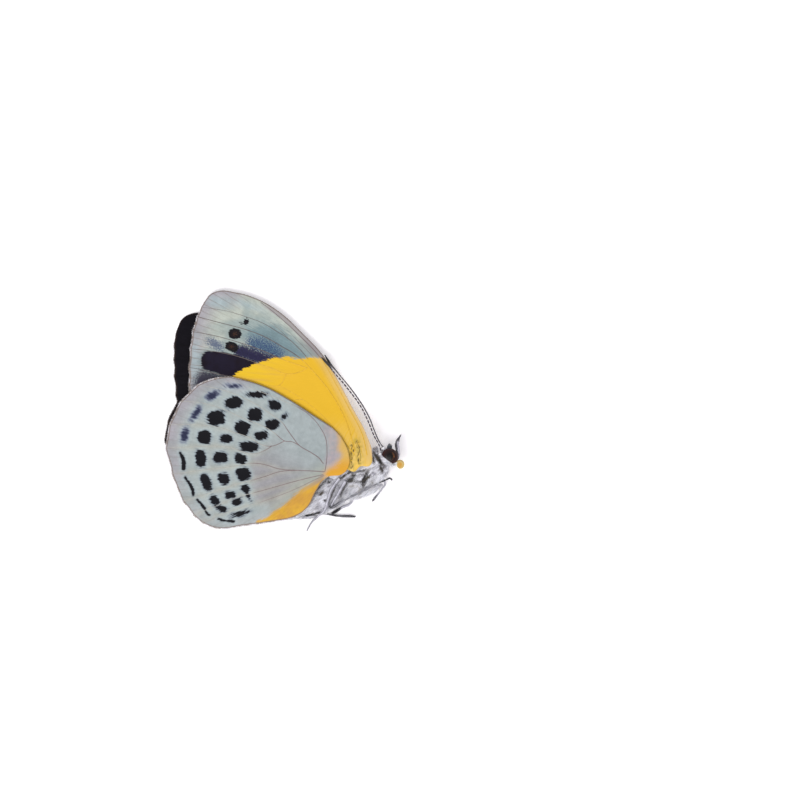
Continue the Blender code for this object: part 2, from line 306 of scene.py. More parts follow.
class Growth(NodeTree):
    # a Geometry Nodes tree that turns a host mesh into many small parts
    def __init__(self, name, **inputs):
        self.tree = bpy.data.node_groups.new(name, "GeometryNodeTree")
        face = self.tree.interface
        face.new_socket("Geometry", in_out="INPUT", socket_type="NodeSocketGeometry")
        self.keys = {}
        kinds = {float: "NodeSocketFloat", int: "NodeSocketInt", str: "NodeSocketMaterial"}
        for label, value in inputs.items():
            socket = face.new_socket(label, in_out="INPUT", socket_type=kinds[type(value)])
            if not isinstance(value, str):
                socket.default_value = value
            self.keys[label] = socket.identifier
        face.new_socket("Geometry", in_out="OUTPUT", socket_type="NodeSocketGeometry")
        self.start = self.tree.nodes.new("NodeGroupInput")
        self.end = self.tree.nodes.new("NodeGroupOutput")

    def given(self, label):
        return self.start.outputs[label]

    def named(self, attribute, kind="FLOAT"):
        return self.node("GeometryNodeInputNamedAttribute", {"Name": attribute}, data_type=kind)

    def scatter(self, low, high, seed):
        # one random number a point, from low to high
        return self.node("FunctionNodeRandomValue", {2: low, 3: high, "Seed": seed}, 1)

    def sow(self, points, shape, way, shortest, longest, width=None):
        # one shape a point along its way, give or take the spread, as long as asked times its "grown"
        seed = self.given("Seed")
        feeds = {0: (-1.0,) * 3, 1: (1.0,) * 3, "Seed": seed}
        swing = self.node("FunctionNodeRandomValue", feeds, data_type="FLOAT_VECTOR")
        aim = self.vectorMaths("ADD", way, self.scaled(swing, self.given("Spread")))
        turn = self.node("FunctionNodeAlignRotationToVector", {"Vector": aim}, axis="Z")
        length = self.times(self.given("Length"), self.scatter(shortest, longest, seed))
        length = self.times(length, self.named("grown"))
        width = length if width is None else width
        size = self.vector(width, width, length)
        feeds = {"Points": points, "Instance": shape, "Rotation": turn, "Scale": size}
        return self.node("GeometryNodeInstanceOnPoints", feeds)

    def finish(self, geometry):
        real = self.node("GeometryNodeRealizeInstances", {0: geometry})
        painted = self.node("GeometryNodeSetMaterial", {0: real, "Material": self.given("Material")})
        smooth = self.node("GeometryNodeSetShadeSmooth", {0: painted})
        self.tree.links.new(smooth, self.end.inputs[0])
        return self

    def grow(self, name, host, material, **values):
        # runs the tree on a host mesh and keeps what it makes as a plain mesh
        carrier = addObject(name + "Host", host)
        modifier = carrier.modifiers.new(name, "NODES")
        modifier.node_group = self.tree
        modifier[self.keys["Material"]] = material
        for label, value in values.items():
            modifier[self.keys[label]] = value
        bpy.context.view_layer.update()
        graph = bpy.context.evaluated_depsgraph_get()
        mesh = bpy.data.meshes.new_from_object(carrier.evaluated_get(graph))
        bpy.data.objects.remove(carrier)
        mesh.name = name
        return addObject(name, mesh)


def tubeGrowth():
    # a round tube along every path, as thick at each point as its "thick" says
    growth = Growth("tubes along paths", Sides=6, Material="")
    path = growth.node("GeometryNodeMeshToCurve", {0: growth.given("Geometry")})
    feeds = {"Resolution": growth.given("Sides"), "Radius": 1.0}
    ring = growth.node("GeometryNodeCurvePrimitiveCircle", feeds)
    feeds = {"Curve": path, "Profile Curve": ring, "Scale": growth.named("thick"), "Fill Caps": True}
    return growth.finish(growth.node("GeometryNodeCurveToMesh", feeds))


def barbGrowth():
    # small tapering barbs that stand on every path along its "out": fringe scales and leg bristles
    growth = Growth(
        "barbs along paths", Spacing=0.06 * mm, Length=0.2 * mm, Width=0.03 * mm, Spread=0.3, Seed=1,
        Material="",
    )
    path = growth.node("GeometryNodeMeshToCurve", {0: growth.given("Geometry")})
    feeds = {"Curve": path, "Length": growth.given("Spacing")}
    stops = growth.node("GeometryNodeResampleCurve", feeds, mode="LENGTH")
    feeds = {"Vertices": 3, "Radius Top": 0.25, "Radius Bottom": 1.0, "Depth": 1.0}
    barb = growth.node("GeometryNodeMeshCone", feeds)
    way = growth.named("out", "FLOAT_VECTOR")
    return growth.finish(growth.sow(stops, barb, way, 0.6, 1.15, growth.given("Width")))


def hairGrowth():
    # bent, tapering hairs scattered over a skin, lying along its "flow"
    growth = Growth(
        "hairs on a skin", Density=40e6, Length=0.8 * mm, Thickness=0.03, Bend=0.4, Lift=0.5,
        Spread=0.4, Seed=1, Material="",
    )
    seed = growth.given("Seed")
    density = growth.times(growth.given("Density"), growth.named("cover"))
    feeds = {"Mesh": growth.given("Geometry"), "Density": density, "Seed": seed}
    roots = growth.node("GeometryNodeDistributePointsOnFaces", feeds)
    line = growth.node("GeometryNodeCurvePrimitiveLine", {"Start": (0, 0, 0), "End": (0, 0, 1)})
    line = growth.node("GeometryNodeResampleCurve", {"Curve": line, "Count": 4})
    share = growth.node("GeometryNodeSplineParameter", {})
    curl = growth.times(growth.maths("POWER", share, 2.0), growth.given("Bend"))
    line = growth.node("GeometryNodeSetPosition", {"Geometry": line, "Offset": growth.vector(curl)})
    taper = growth.maths("SUBTRACT", 1.0, growth.times(share, 0.85))
    thick = growth.times(taper, growth.given("Thickness"))
    ring = growth.node("GeometryNodeCurvePrimitiveCircle", {"Resolution": 3, "Radius": 1.0})
    feeds = {"Curve": line, "Profile Curve": ring, "Scale": thick, "Fill Caps": True}
    hair = growth.node("GeometryNodeCurveToMesh", feeds)
    up = growth.scaled(roots.node.outputs["Normal"], growth.given("Lift"))
    way = growth.vectorMaths("ADD", up, growth.named("flow", "FLOAT_VECTOR"))
    tufts = growth.sow(roots, hair, way, 0.5, 1.2)
    feeds = {"Geometry": tufts, "Name": "tone", "Value": growth.scatter(0.0, 1.0, growth.plus(seed, 7.0))}
    tufts = growth.node("GeometryNodeStoreNamedAttribute", feeds, data_type="FLOAT", domain="INSTANCE")
    return growth.finish(tufts)


tubes, barbs, hairs = tubeGrowth(), barbGrowth(), hairGrowth()


def pathHost(name, paths, **extra):
    # paths of x, y, z and thickness as one mesh of edges, with the run along each path as "along"
    points, edges, along = [], [], []
    for path in paths:
        start = len(points)
        points.extend(path.tolist())
        steps = np.linalg.norm(np.diff(path[:, :3], axis=0), axis=1)
        along.extend(np.concatenate(([0], np.cumsum(steps))))
        edges.extend((start + step, start + step + 1) for step in range(len(path) - 1))
    points = np.array(points)
    return meshFrom(name, points[:, :3], edges=edges, thick=points[:, 3] * mm, along=along, **extra)


print("stage 1: helpers and growth trees are ready")


# The closed wings

wings = {
    "thickness": 0.06,
    "rimThickness": 0.03,
    "spacing": 0.17,
    "ripple": 0.045,  # how far the membrane dips between its veins
    "veinThickness": 0.062,
    "fringe": 0.23,
    "scallop": 0.15,
    "forewingHinge": (10.8, -7.85),
    "hindwingHinge": (7.4, -8.55),
    "leftForewingTurn": 9.0,
    "leftHindwingTurn": -2.2,
    "ridgeEnd": (1.0, -15.0),  # the closed wings rise to a ridge from the forewing's hinge to here
    "ridgeHeights": (4.32, 2.35),
    "ridgeReach": 6.0,
    "edgeHeight": 0.66,
    "hindwingLift": 0.36,  # the right hindwing lies over the forewing
    "leftForewingHeight": 0.36,
    "leftHindwingHeight": 0.09,
    "forewingOutline": (
        (11.95, -7.5), (12.25, -6.1), (11.4, -3.1), (9.5, 0.45), (7.5, 4.2), (5.45, 7.65), (2.5, 10.85),
        (-0.75, 13.85), (-3.95, 15.7), (-7.15, 16.62), (-9.15, 16.78), (-10.6, 16.1), (-12.05, 13.45),
        (-12.85, 10.95), (-13.2, 8.0), (-13.35, 4.35), (-13.1, 1.1), (-11.8, -1.4), (-4.2, -4.2),
        (3.5, -6.45), (8.9, -8.1), (9.8, -8.35), (10.6, -7.65),
    ),
    "hindwingOutline": (
        (8.2, -8.65), (9.05, -7.5), (9.1, -6.3), (8.35, -4.25), (7.1, -2.7), (4.0, -0.55), (0.65, 1.6),
        (-2.65, 3.35), (-5.95, 4.4), (-8.6, 4.8), (-11.4, 4.0), (-13.95, 1.9), (-15.7, -1.1),
        (-16.5, -4.5), (-16.5, -5.7), (-15.95, -7.65), (-14.7, -11.45), (-13.0, -14.1), (-10.9, -15.8),
        (-8.8, -16.4), (-5.9, -16.05), (-1.8, -15.45), (1.65, -14.6), (3.3, -13.3), (4.5, -11.05),
        (5.9, -9.2),
    ),
    # rounder than the right one's
    "leftApex": ((-7.15, 16.75), (-9.3, 17.1), (-11.0, 16.4), (-12.3, 13.7)),
    # shows past the right one's
    "leftHindEdge": ((-14.25, 2.1), (-16.1, -0.95), (-16.95, -4.45), (-16.75, -5.8)),
    "forewingMargin": (11, 18),  # the outline's points between which the edge is scalloped and fringed
    "hindwingMargin": (8, 23),
}

forewingVeins = {
    # thickness relative to the others, then the route from the root to the margin
    "subcosta": (1.0, (
        (11.5, -6.2), (10.85, -3.4), (9.05, 0.2), (7.05, 3.9), (5.05, 7.3), (2.2, 10.4), (-0.9, 13.25),
        (-2.3, 14.4), (-3.4, 15.2),
    )),
    "radius": (0.6, (
        (11.0, -6.6), (9.9, -3.2), (8.2, 0.3), (6.3, 3.9), (4.3, 7.1), (1.6, 10.0), (-0.6, 12.2),
        (-2.0, 13.3), (-3.9, 14.3), (-5.9, 15.2), (-8.0, 16.0), (-9.3, 16.5),
    )),
    "radius4": (0.5, (
        (0.6, 10.0), (-0.9, 11.5), (-2.3, 12.6), (-4.6, 13.7), (-6.8, 14.5), (-8.8, 15.2), (-10.6, 15.7),
    )),
    "radius5": (0.8, (
        (3.3, 7.2), (2.2, 8.5), (0.6, 10.0), (-1.4, 11.3), (-3.1, 12.3), (-5.5, 13.2), (-7.8, 13.9),
        (-9.9, 14.3), (-11.5, 14.5),
    )),
    "media1": (1.15, (
        (9.8, -5.6), (8.6, -1.6), (6.6, 2.2), (3.9, 5.6), (1.7, 7.7), (-0.4, 9.0), (-3.1, 10.5),
        (-5.5, 11.4), (-8.1, 12.1), (-10.4, 12.7), (-12.2, 13.2),
    )),
    "media2": (1.0, (
        (3.1, 6.0), (1.4, 6.6), (-0.6, 7.3), (-2.8, 8.3), (-5.5, 9.3), (-7.8, 10.0), (-10.1, 10.6),
        (-12.9, 11.1),
    )),
    "media3": (1.0, (
        (3.1, 6.0), (2.2, 5.5), (0.2, 5.2), (-1.9, 6.0), (-3.9, 6.7), (-5.5, 7.3), (-7.2, 7.8),
        (-9.1, 8.2), (-11.0, 8.5), (-13.2, 8.7),
    )),
    "cubitus1": (1.0, (
        (0.2, 5.2), (-0.8, 3.6), (-2.3, 3.6), (-4.9, 4.4), (-7.8, 4.9), (-9.6, 5.2), (-11.3, 5.7),
        (-13.4, 6.1),
    )),
    "cubitus2": (1.0, ((9.8, -6.2), (6.0, -1.4), (2.5, 1.6), (-0.8, 3.6))),
    "cubitus3": (0.9, ((2.5, 1.6), (-1.5, 1.6), (-6.0, 2.4), (-10.0, 3.1), (-13.3, 3.6))),
    "anal": (0.9, ((9.4, -7.0), (4.0, -3.4), (-2.0, -1.4), (-8.0, -0.2), (-13.0, 0.6))),
}
hindwingVeins = {
    "costa": (0.9, (
        (5.6, -8.5), (5.8, -7.3), (5.9, -5.7), (5.7, -3.8), (5.0, -2.4), (3.8, -0.9), (2.2, 0.3),
        (0.0, 1.3), (-2.6, 2.4), (-5.3, 3.4), (-7.6, 4.5),
    )),
    "radius": (1.0, (
        (5.4, -7.4), (4.8, -6.6), (3.8, -5.9), (2.0, -4.8), (1.2, -3.8), (0.4, -2.7), (-0.3, -1.7),
        (-1.6, -0.7), (-3.5, 0.6), (-5.3, 1.6), (-7.6, 2.6), (-10.2, 3.3), (-11.9, 3.6),
    )),
    "media1": (0.9, (
        (2.0, -4.8), (1.0, -4.3), (0.0, -4.2), (-1.2, -3.3), (-2.3, -2.5), (-4.3, -1.6), (-6.3, -0.8),
        (-8.2, 0.1), (-10.6, 0.9), (-12.9, 1.3), (-14.6, 1.3),
    )),
    "media2": (0.9, (
        (0.0, -4.2), (-1.8, -4.9), (-3.0, -4.8), (-5.0, -3.7), (-7.3, -2.9), (-9.2, -2.3), (-11.2, -2.0),
        (-13.4, -1.9), (-16.1, -1.9),
    )),
    "media3": (0.9, (
        (-1.8, -4.9), (-3.0, -5.6), (-4.5, -6.0), (-5.9, -5.7), (-7.6, -5.1), (-10.1, -4.9),
        (-12.5, -5.0), (-15.0, -5.1), (-16.6, -5.1),
    )),
    "cubitus1": (1.0, (
        (5.5, -8.5), (4.0, -8.4), (1.8, -8.3), (-0.8, -8.1), (-2.8, -7.5), (-4.3, -7.3), (-5.9, -7.5),
        (-7.6, -7.8), (-10.1, -8.1), (-12.5, -8.4), (-15.6, -8.8),
    )),
    "cubitus2": (0.9, (
        (1.8, -8.3), (-0.8, -8.5), (-2.6, -9.1), (-4.3, -9.6), (-6.3, -10.1), (-8.2, -10.7),
        (-10.2, -11.4), (-12.2, -12.0), (-14.2, -12.6),
    )),
    "anal1": (0.9, (
        (5.4, -8.9), (3.6, -9.3), (1.2, -9.9), (-1.3, -10.6), (-3.8, -11.3), (-5.6, -11.75),
        (-7.6, -12.4), (-9.3, -13.15), (-11.1, -13.85), (-12.8, -14.6),
    )),
    "anal2": (0.7, (
        (5.5, -9.0), (3.8, -9.8), (1.5, -10.9), (-1.0, -11.9), (-3.3, -12.7), (-6.05, -13.5),
        (-7.6, -14.0), (-10.2, -14.9), (-11.6, -15.5),
    )),
}

hindwingMarks = {
    # x, y, width, height, tilt
    "black": (
        (-4.0, 2.3, 2.8, 0.8, 0), (-7.2, 1.1, 2.4, 1.7, 15), (-9.6, -1.0, 2.5, 2.0, 10),
        (-11.2, -3.6, 1.9, 1.8, 0), (-11.75, -6.7, 2.35, 1.4, -86), (-11.0, -10.05, 2.4, 1.3, -75),
        (-9.87, -12.48, 1.45, 1.2, -68), (-8.78, -13.68, 1.45, 0.8, -14), (-6.3, -14.35, 2.3, 0.66, 13),
        (-1.4, 0.8, 1.8, 1.3, -20), (-4.2, -0.5, 2.0, 1.8, 0), (-6.0, -2.4, 2.1, 1.9, -20),
        (-8.2, -3.9, 1.6, 1.3, 0), (-9.0, -6.5, 1.9, 1.7, 0), (-8.55, -9.45, 1.6, 1.5, -80),
        (-7.65, -11.74, 1.4, 1.05, 10), (-6.73, -12.7, 1.45, 0.95, 17), (-0.1, -0.8, 1.1, 0.6, 48),
        (-1.8, -1.9, 1.9, 1.4, 10), (-3.3, -3.4, 1.9, 1.3, 10), (-5.0, -5.0, 2.7, 1.5, 0),
        (-6.2, -6.7, 1.7, 1.4, -25), (-5.8, -8.8, 2.0, 1.9, 20), (-5.55, -10.85, 1.25, 1.1, -40),
        (-5.1, -11.95, 1.2, 0.45, -70),
    ),
    "crescent": (  # outlines of the bowed marks near the edge
        (
            (-14.72, -5.66), (-14.35, -6.05), (-13.94, -6.7), (-13.86, -7.25), (-14.2, -8.34),
            (-14.4, -7.4), (-14.6, -6.4),
        ),
        (
            (-13.98, -9.12), (-13.6, -9.5), (-13.14, -10.1), (-12.66, -11.1), (-12.82, -11.92),
            (-13.1, -11.2), (-13.45, -10.3),
        ),
        (
            (-12.34, -12.26), (-11.85, -12.6), (-11.42, -13.05), (-11.05, -13.8), (-11.35, -13.76),
            (-11.86, -13.05),
        ),
        ((-11.2, -13.86), (-10.8, -14.2), (-10.36, -14.66), (-10.66, -14.7), (-11.1, -14.22)),
        (
            (-9.46, -15.08), (-8.3, -15.22), (-6.95, -15.5), (-7.6, -15.58), (-8.3, -15.46),
            (-9.15, -15.32),
        ),
    ),
    "dusky": (
        (-7.1, 3.5, 1.6, 0.5, 0), (-10.1, 2.2, 1.7, 0.9, 30), (-12.5, -0.4, 1.9, 0.7, 57),
        (-14.0, -3.4, 1.9, 0.9, 80),
    ),
    "spottedZone": (
        (2.0, 1.1), (0.5, 0.3), (0.0, -1.2), (-0.8, -2.9), (-2.1, -4.3), (-3.3, -5.7), (-4.5, -6.5),
        (-4.6, -8.0), (-4.5, -9.6), (-4.3, -10.9), (-4.0, -12.4), (-2.2, -13.4), (-2.0, -15.6),
        (-9.2, -17.6), (-15.2, -15.1), (-18.0, -7.5), (-17.8, -2.5), (-13.5, 4.3), (-8.2, 5.8),
        (-2.0, 4.3),
    ),
    "fold": (
        (-4.0, -15.75), (-2.6, -14.9), (-1.3, -13.9), (0.3, -12.8), (1.8, -11.4), (3.1, -10.4),
        (4.5, -9.6), (5.6, -8.8), (6.6, -9.2), (5.6, -10.4), (4.8, -11.8), (4.0, -13.2), (2.6, -15.2),
        (-0.2, -16.2), (-2.6, -16.2),
    ),
    "lobe": (
        (6.9, -2.2), (7.25, -3.3), (7.35, -4.6), (7.3, -5.5), (7.7, -6.1), (7.25, -6.85), (6.5, -7.5),
        (5.75, -8.05), (5.3, -8.9), (7.0, -9.9), (9.0, -9.6), (10.2, -7.8), (10.2, -5.5), (9.0, -2.6),
    ),
    "lilac": (
        (5.75, -7.6), (6.0, -6.0), (5.9, -4.0), (5.3, -2.5), (6.2, -1.6), (7.4, -2.5), (8.1, -4.2),
        (7.8, -6.0), (7.0, -7.3),
    ),
    "pinkStreaks": ((6.7, -6.95, 2.0, 2.2, 0),),
    "streakCentre": (6.4, -8.2),
    "streakReach": 14.0,
}

forewingMarks = {
    "black": (
        (-5.45, 12.45, 0.75, 0.75, 0), (-7.0, 10.8, 1.8, 1.4, -8), (-7.45, 9.0, 1.85, 1.3, -18),
        (-5.95, 12.2, 0.9, 0.14, 20), (-5.9, 12.45, 0.6, 0.08, 10), (-5.15, 12.72, 0.35, 0.16, 60),
        (-5.35, 12.95, 0.12, 0.4, 0),
    ),
    "smudge": ((-9.75, 9.35, 2.0, 1.0, -30),),
    "band": (
        (-11.3, 8.1), (-10.1, 8.3), (-8.4, 8.2), (-6.8, 7.7), (-5.5, 7.3), (-4.1, 6.8), (-3.6, 5.6),
        (-5.9, 4.6), (-7.3, 4.9), (-8.1, 4.9), (-9.2, 5.2), (-10.7, 5.7), (-11.5, 6.1), (-11.7, 7.1),
    ),
    "navy": (
        (-7.1, 8.75), (-6.2, 9.2), (-4.8, 8.85), (-3.2, 8.3), (-1.4, 7.6), (-0.6, 7.2), (-2.6, 6.4),
        (-4.0, 6.65), (-5.8, 7.25), (-7.0, 7.7),
    ),
    "lowerBand": (
        (-11.8, 5.4), (-10.4, 5.5), (-9.1, 5.2), (-7.2, 4.9), (-7.2, 3.2), (-9.9, 2.2), (-12.2, 2.2),
        (-12.6, 3.6),
    ),
    "orange": (
        (-7.3, 4.85), (-6.5, 5.5), (-5.5, 6.0), (-4.3, 6.5), (-2.8, 7.1), (-1.2, 7.4), (0.6, 7.5),
        (2.5, 7.3), (4.0, 7.5), (5.2, 7.4), (7.2, 6.5), (9.6, 2.2), (11.6, -1.6), (13.2, -5.0),
        (13.2, -9.0), (8.0, -9.5), (0.0, -6.0), (-5.0, -1.0), (-7.8, 3.0),
    ),
    "teal": (
        (-4.6, 12.0), (-2.3, 12.4), (-0.7, 11.9), (0.9, 10.6), (2.5, 9.0), (3.6, 7.6), (1.7, 6.6),
        (-0.7, 6.6), (-2.3, 8.3), (-4.3, 9.3), (-5.5, 10.0), (-5.7, 11.2),
    ),
    "speckle": (
        (-5.2, 9.9), (-3.9, 10.2), (-2.3, 9.7), (-0.8, 8.8), (-0.3, 7.9), (-1.4, 7.2), (-3.3, 7.9),
        (-5.2, 8.8),
    ),
    "apexBlue": ((-9.2, 15.2, 3.0, 1.3, -10), (-5.4, 14.9, 3.0, 0.6, -18), (-12.6, 6.8, 1.1, 5.0, 0)),
    "specks": (
        ((10.05, -4.25), (10.3, -5.1), (10.4, -5.9), (10.35, -6.6), (10.45, -7.2)),
        ((9.35, -4.9), (9.5, -5.4), (9.3, -6.2), (9.2, -6.9), (9.35, -7.9)),
    ),
    "streakCentre": (12.2, 3.2),
    "streakReach": 20.0,
}

upperMarks = {
    "upperOrange": (
        (12.5, -8.5), (12.8, -4.0), (8.5, 2.5), (4.0, 6.6), (0.0, 6.6), (-3.4, 4.6), (-3.0, 0.5),
        (2.0, -3.6), (7.0, -7.6),
    ),
    # painted sheen: broad violet gleams on the black velvet
    "paintedSheen": ((-5.5, 10.2, 6.4, 2.4, -28), (-2.0, 9.8, 4.0, 2.0, -38)),
}


def closedHeight(places):
    # the right wings rise from their edges to lie on the thorax and the abdomen
    root, rear = np.array(wings["forewingHinge"]), np.array(wings["ridgeEnd"])
    spine = rear - root
    share = np.clip((places - root) @ spine / (spine @ spine), 0, 1)
    away = np.linalg.norm(places - root - share[:, None] * spine, axis=1)
    front, back = wings["ridgeHeights"]
    ridge = front + (back - front) * share
    return wings["edgeHeight"] + (ridge - wings["edgeHeight"]) / (1 + (away / wings["ridgeReach"]) ** 2)


def leftForewingHeight(places):
    # it sinks a little towards its tip
    return wings["leftForewingHeight"] - 0.16 * np.clip((places[:, 0] + 11) / -5, 0, 1)


def turned(places, hinge, degrees):
    turn = math.radians(degrees)
    matrix = np.array(((math.cos(turn), math.sin(turn)), (-math.sin(turn), math.cos(turn))))
    return (places - hinge) @ matrix + hinge


def marginLoop(outline, margin, veins, spacing):
    # the outline with a shallow scallop between the ends of each two veins, and each point's outward way
    loop = smoothPath(outline, spacing, closed=True)

    def stepAt(place):
        return int(np.argmin(np.linalg.norm(loop - place, axis=1)))

    corners = [stepAt(outline[index]) for index in margin]
    ends = sorted(stepAt(route[-1]) for _, route in veins.values())
    ends = [corners[0]] + [end for end in ends if corners[0] + 4 < end < corners[1] - 4] + [corners[1]]
    along = np.roll(loop, -1, 0) - np.roll(loop, 1, 0)
    along /= np.linalg.norm(along, axis=1)[:, None]
    outward = np.column_stack((along[:, 1], -along[:, 0]))
    if isInside(loop[:1] + outward[:1] * 0.05, loop)[0]:
        outward = -outward
    inset = np.zeros(len(loop))
    for first, last in zip(ends, ends[1:]):
        steps = np.arange(first, last)
        depth = np.clip(((last - first) * spacing - 1.3) / 1.1, 0, 1)  # none where the veins are close
        inset[steps] = np.sin(np.pi * (steps - first) / (last - first)) * depth
    return loop - outward * inset[:, None] * wings["scallop"], outward, corners


def fillLoop(loop, spacing):
    # even triangles inside the loop
    low, high = loop.min(0), loop.max(0)
    across = np.arange(low[0], high[0], spacing)
    rows = np.arange(low[1], high[1], spacing * math.sqrt(3) / 2)
    grid = np.vstack([
        np.column_stack((across + (row % 2) * spacing / 2, np.full_like(across, y)))
        for row, y in enumerate(rows)
    ])
    grid = grid[isInside(grid, loop)]
    grid = grid[distanceTo(grid, loop, closed=True) > spacing * 0.55]
    corners = [Vector(place) for place in np.vstack((loop, grid))]
    rim = [(index, (index + 1) % len(loop)) for index in range(len(loop))]
    found = delaunay_2d_cdt(corners, rim, [], 1, 1e-7, False)
    flat, faces = np.array([tuple(corner) for corner in found[0]]), np.array(found[2])
    return flat, faces[isInside(flat[faces].mean(1), loop)]


def asDrawn(places, sign=1):
    # the marks were drawn as the camera sees them, and a wing above the floor looks a little larger
    share = closedHeight(places)[:, None] / studio["distance"]
    return places + sign * (places - studio["aim"]) * share


def veinPaths(veins):
    return [asDrawn(smoothPath(route, 0.3)[:, :2], -1) for _, route in veins.values()]


def wingFields(flat, loop, veins, marks, spots, patches):
    # what the finishes of both kinds of wing read at each point: mostly distances
    places = asDrawn(flat)
    away = places - np.array(marks["streakCentre"])  # scales lie along rays from this centre
    fields = {
        "along": np.linalg.norm(away, axis=1),
        "across": np.arctan2(away[:, 1], -away[:, 0]) * marks["streakReach"],
        "edge": distanceTo(flat, loop, closed=True),
        "vein": nearest(flat, veinPaths(veins)),
    }
    fields.update((name, spotDistance(places, marks[name])) for name in spots)
    fields.update((name, patchDistance(places, marks[name])) for name in patches)
    return places, fields


def hindwingFields(flat, loop, corners):
    places, fields = wingFields(
        flat, loop, hindwingVeins, hindwingMarks, ("black", "dusky", "pinkStreaks"),
        ("spottedZone", "fold", "lobe", "lilac"),
    )
    bows = [patchDistance(places, bow, 0.12) for bow in hindwingMarks["crescent"]]
    fields["crescent"] = np.min(bows, axis=0)
    fields["margin"] = distanceTo(flat, loop[corners[0]:corners[1]])
    fields["warm"] = ease(-0.62 * places[:, 0] - places[:, 1], 3.0, 11.0)
    return fields


def forewingFields(flat, loop, corners):
    places, fields = wingFields(
        flat, loop, forewingVeins, forewingMarks, ("black", "smudge", "apexBlue"),
        ("band", "navy", "lowerBand", "orange", "teal", "speckle"),
    )
    fields["specks"] = nearest(places, [smoothPath(route, 0.3) for route in forewingMarks["specks"]])
    fields["costa"] = distanceTo(flat, smoothPath(wings["forewingOutline"][1:10], 0.3))
    fields["upperOrange"] = patchDistance(places, upperMarks["upperOrange"])
    fields["paintedSheen"] = spotDistance(places, upperMarks["paintedSheen"])
    fields["margin"] = distanceTo(flat, loop[corners[0] - 20:corners[1]])  # from just before the tip
    return fields


wingKinds = {
    # veins, what the finishes read, and the zone in which the veins are pale
    "forewing": (forewingVeins, forewingFields, forewingMarks["orange"]),
    "hindwing": (hindwingVeins, hindwingFields, hindwingMarks["spottedZone"]),
}


def sheetFaces(flat, faces):
    # the faces of the top, the same ones turned over for the bottom, and walls all round
    count = len(flat)
    area = np.cross(flat[faces[:, 1]] - flat[faces[:, 0]], flat[faces[:, 2]] - flat[faces[:, 0]])
    faces[area < 0] = faces[area < 0][:, ::-1]
    sides = np.vstack((faces[:, [0, 1]], faces[:, [1, 2]], faces[:, [2, 0]]))
    known = {(a, b) for a, b in sides.tolist()}
    rim = [(a, b) for a, b in known if (b, a) not in known]
    walls = [(a + count, b + count, b, a) for a, b in sorted(rim)]
    return faces.tolist() + (faces[:, ::-1] + count).tolist() + walls


def wingPiece(name, height, turn, inks, ripple):
    # one wing as a thin closed sheet, then its veins and the fringe along its outer edge
    upper, lower, veinInk, fringeInk = inks
    kind = name.split("_")[1]
    outline, hinge = np.array(wings[kind + "Outline"]), np.array(wings[kind + "Hinge"])
    if name == "left_forewing":
        outline[9:13] = wings["leftApex"]
    if name == "left_hindwing":
        outline[11:15] = wings["leftHindEdge"]
    veins, fields, paleZone = wingKinds[kind]
    spacing = wings["spacing"]
    loop, outward, corners = marginLoop(outline, wings[kind + "Margin"], veins, spacing * 0.9)
    flat, faces = fillLoop(loop, spacing)
    values = fields(flat, loop, corners)
    paths = veinPaths(veins)

    def surface(places):
        # height of the middle of the sheet, rippled by its veins and slightly uneven
        row = turned(places, hinge, turn)
        dip = np.cos(np.pi * np.clip(nearest(places, paths) / 1.3, 0, 1)) * 0.5
        uneven = np.array([perlin.noise(Vector((x * 0.16, y * 0.16, len(name)))) for x, y in row])
        return row, height(row) + ripple * (dip + uneven)

    row, middle = surface(flat)
    swell = (wings["thickness"] - wings["rimThickness"]) / 2
    half = wings["rimThickness"] / 2 + swell * ease(values["edge"], 0, 0.5)
    points = np.vstack((np.column_stack((row, middle + half)), np.column_stack((row, middle - half))))
    allFaces = sheetFaces(flat, faces)
    doubled = {key: np.concatenate((value, value)) for key, value in values.items()}
    mesh = meshFrom(name, points, allFaces, **doubled)
    piece = addObject(name, mesh, upper, lower)
    slots = np.zeros(len(allFaces), np.int32)
    slots[len(faces):2 * len(faces)] = 1
    mesh.polygons.foreach_set("material_index", slots)
    attach(piece, name)

    routes, tones = [], []
    for (strength, _), path in zip(veins.values(), paths):
        rowPath, level = surface(path)
        taper = np.linspace(1.25, 0.75, len(path)) * strength * wings["veinThickness"]
        routes.append(np.column_stack((rowPath, level, taper)))
        tones.extend(np.interp(patchDistance(asDrawn(path), paleZone), (-0.4, 0.4), (1, 0)))
    inked = tubes.grow(name + "_veins", pathHost(name + "Veins", routes, pale=tones), veinInk, Sides=6)
    attach(inked, name, replace=False)

    first, last = corners
    edge = loop[first:last]
    rowEdge, level = surface(edge)
    away = turned(edge + outward[first:last], hinge, turn) - rowEdge
    away = np.column_stack((away, np.zeros(len(away))))
    steps = np.arange(len(edge))
    fade = np.clip(np.minimum(steps, steps[::-1]) / 25, 0.3, 1)
    path = np.column_stack((rowEdge - away[:, :2] * 0.02, level, np.ones(len(edge))))
    fringe = barbs.grow(
        name + "_fringe", pathHost(name + "Edge", [path], out=away, grown=fade), fringeInk,
        Spacing=0.045 * mm, Length=wings["fringe"] * mm, Width=0.035 * mm, Spread=0.28, Seed=len(name),
    )
    attach(fringe, name, replace=False)
    print("   ", name, len(faces) * 2, "faces")


# Wing finishes

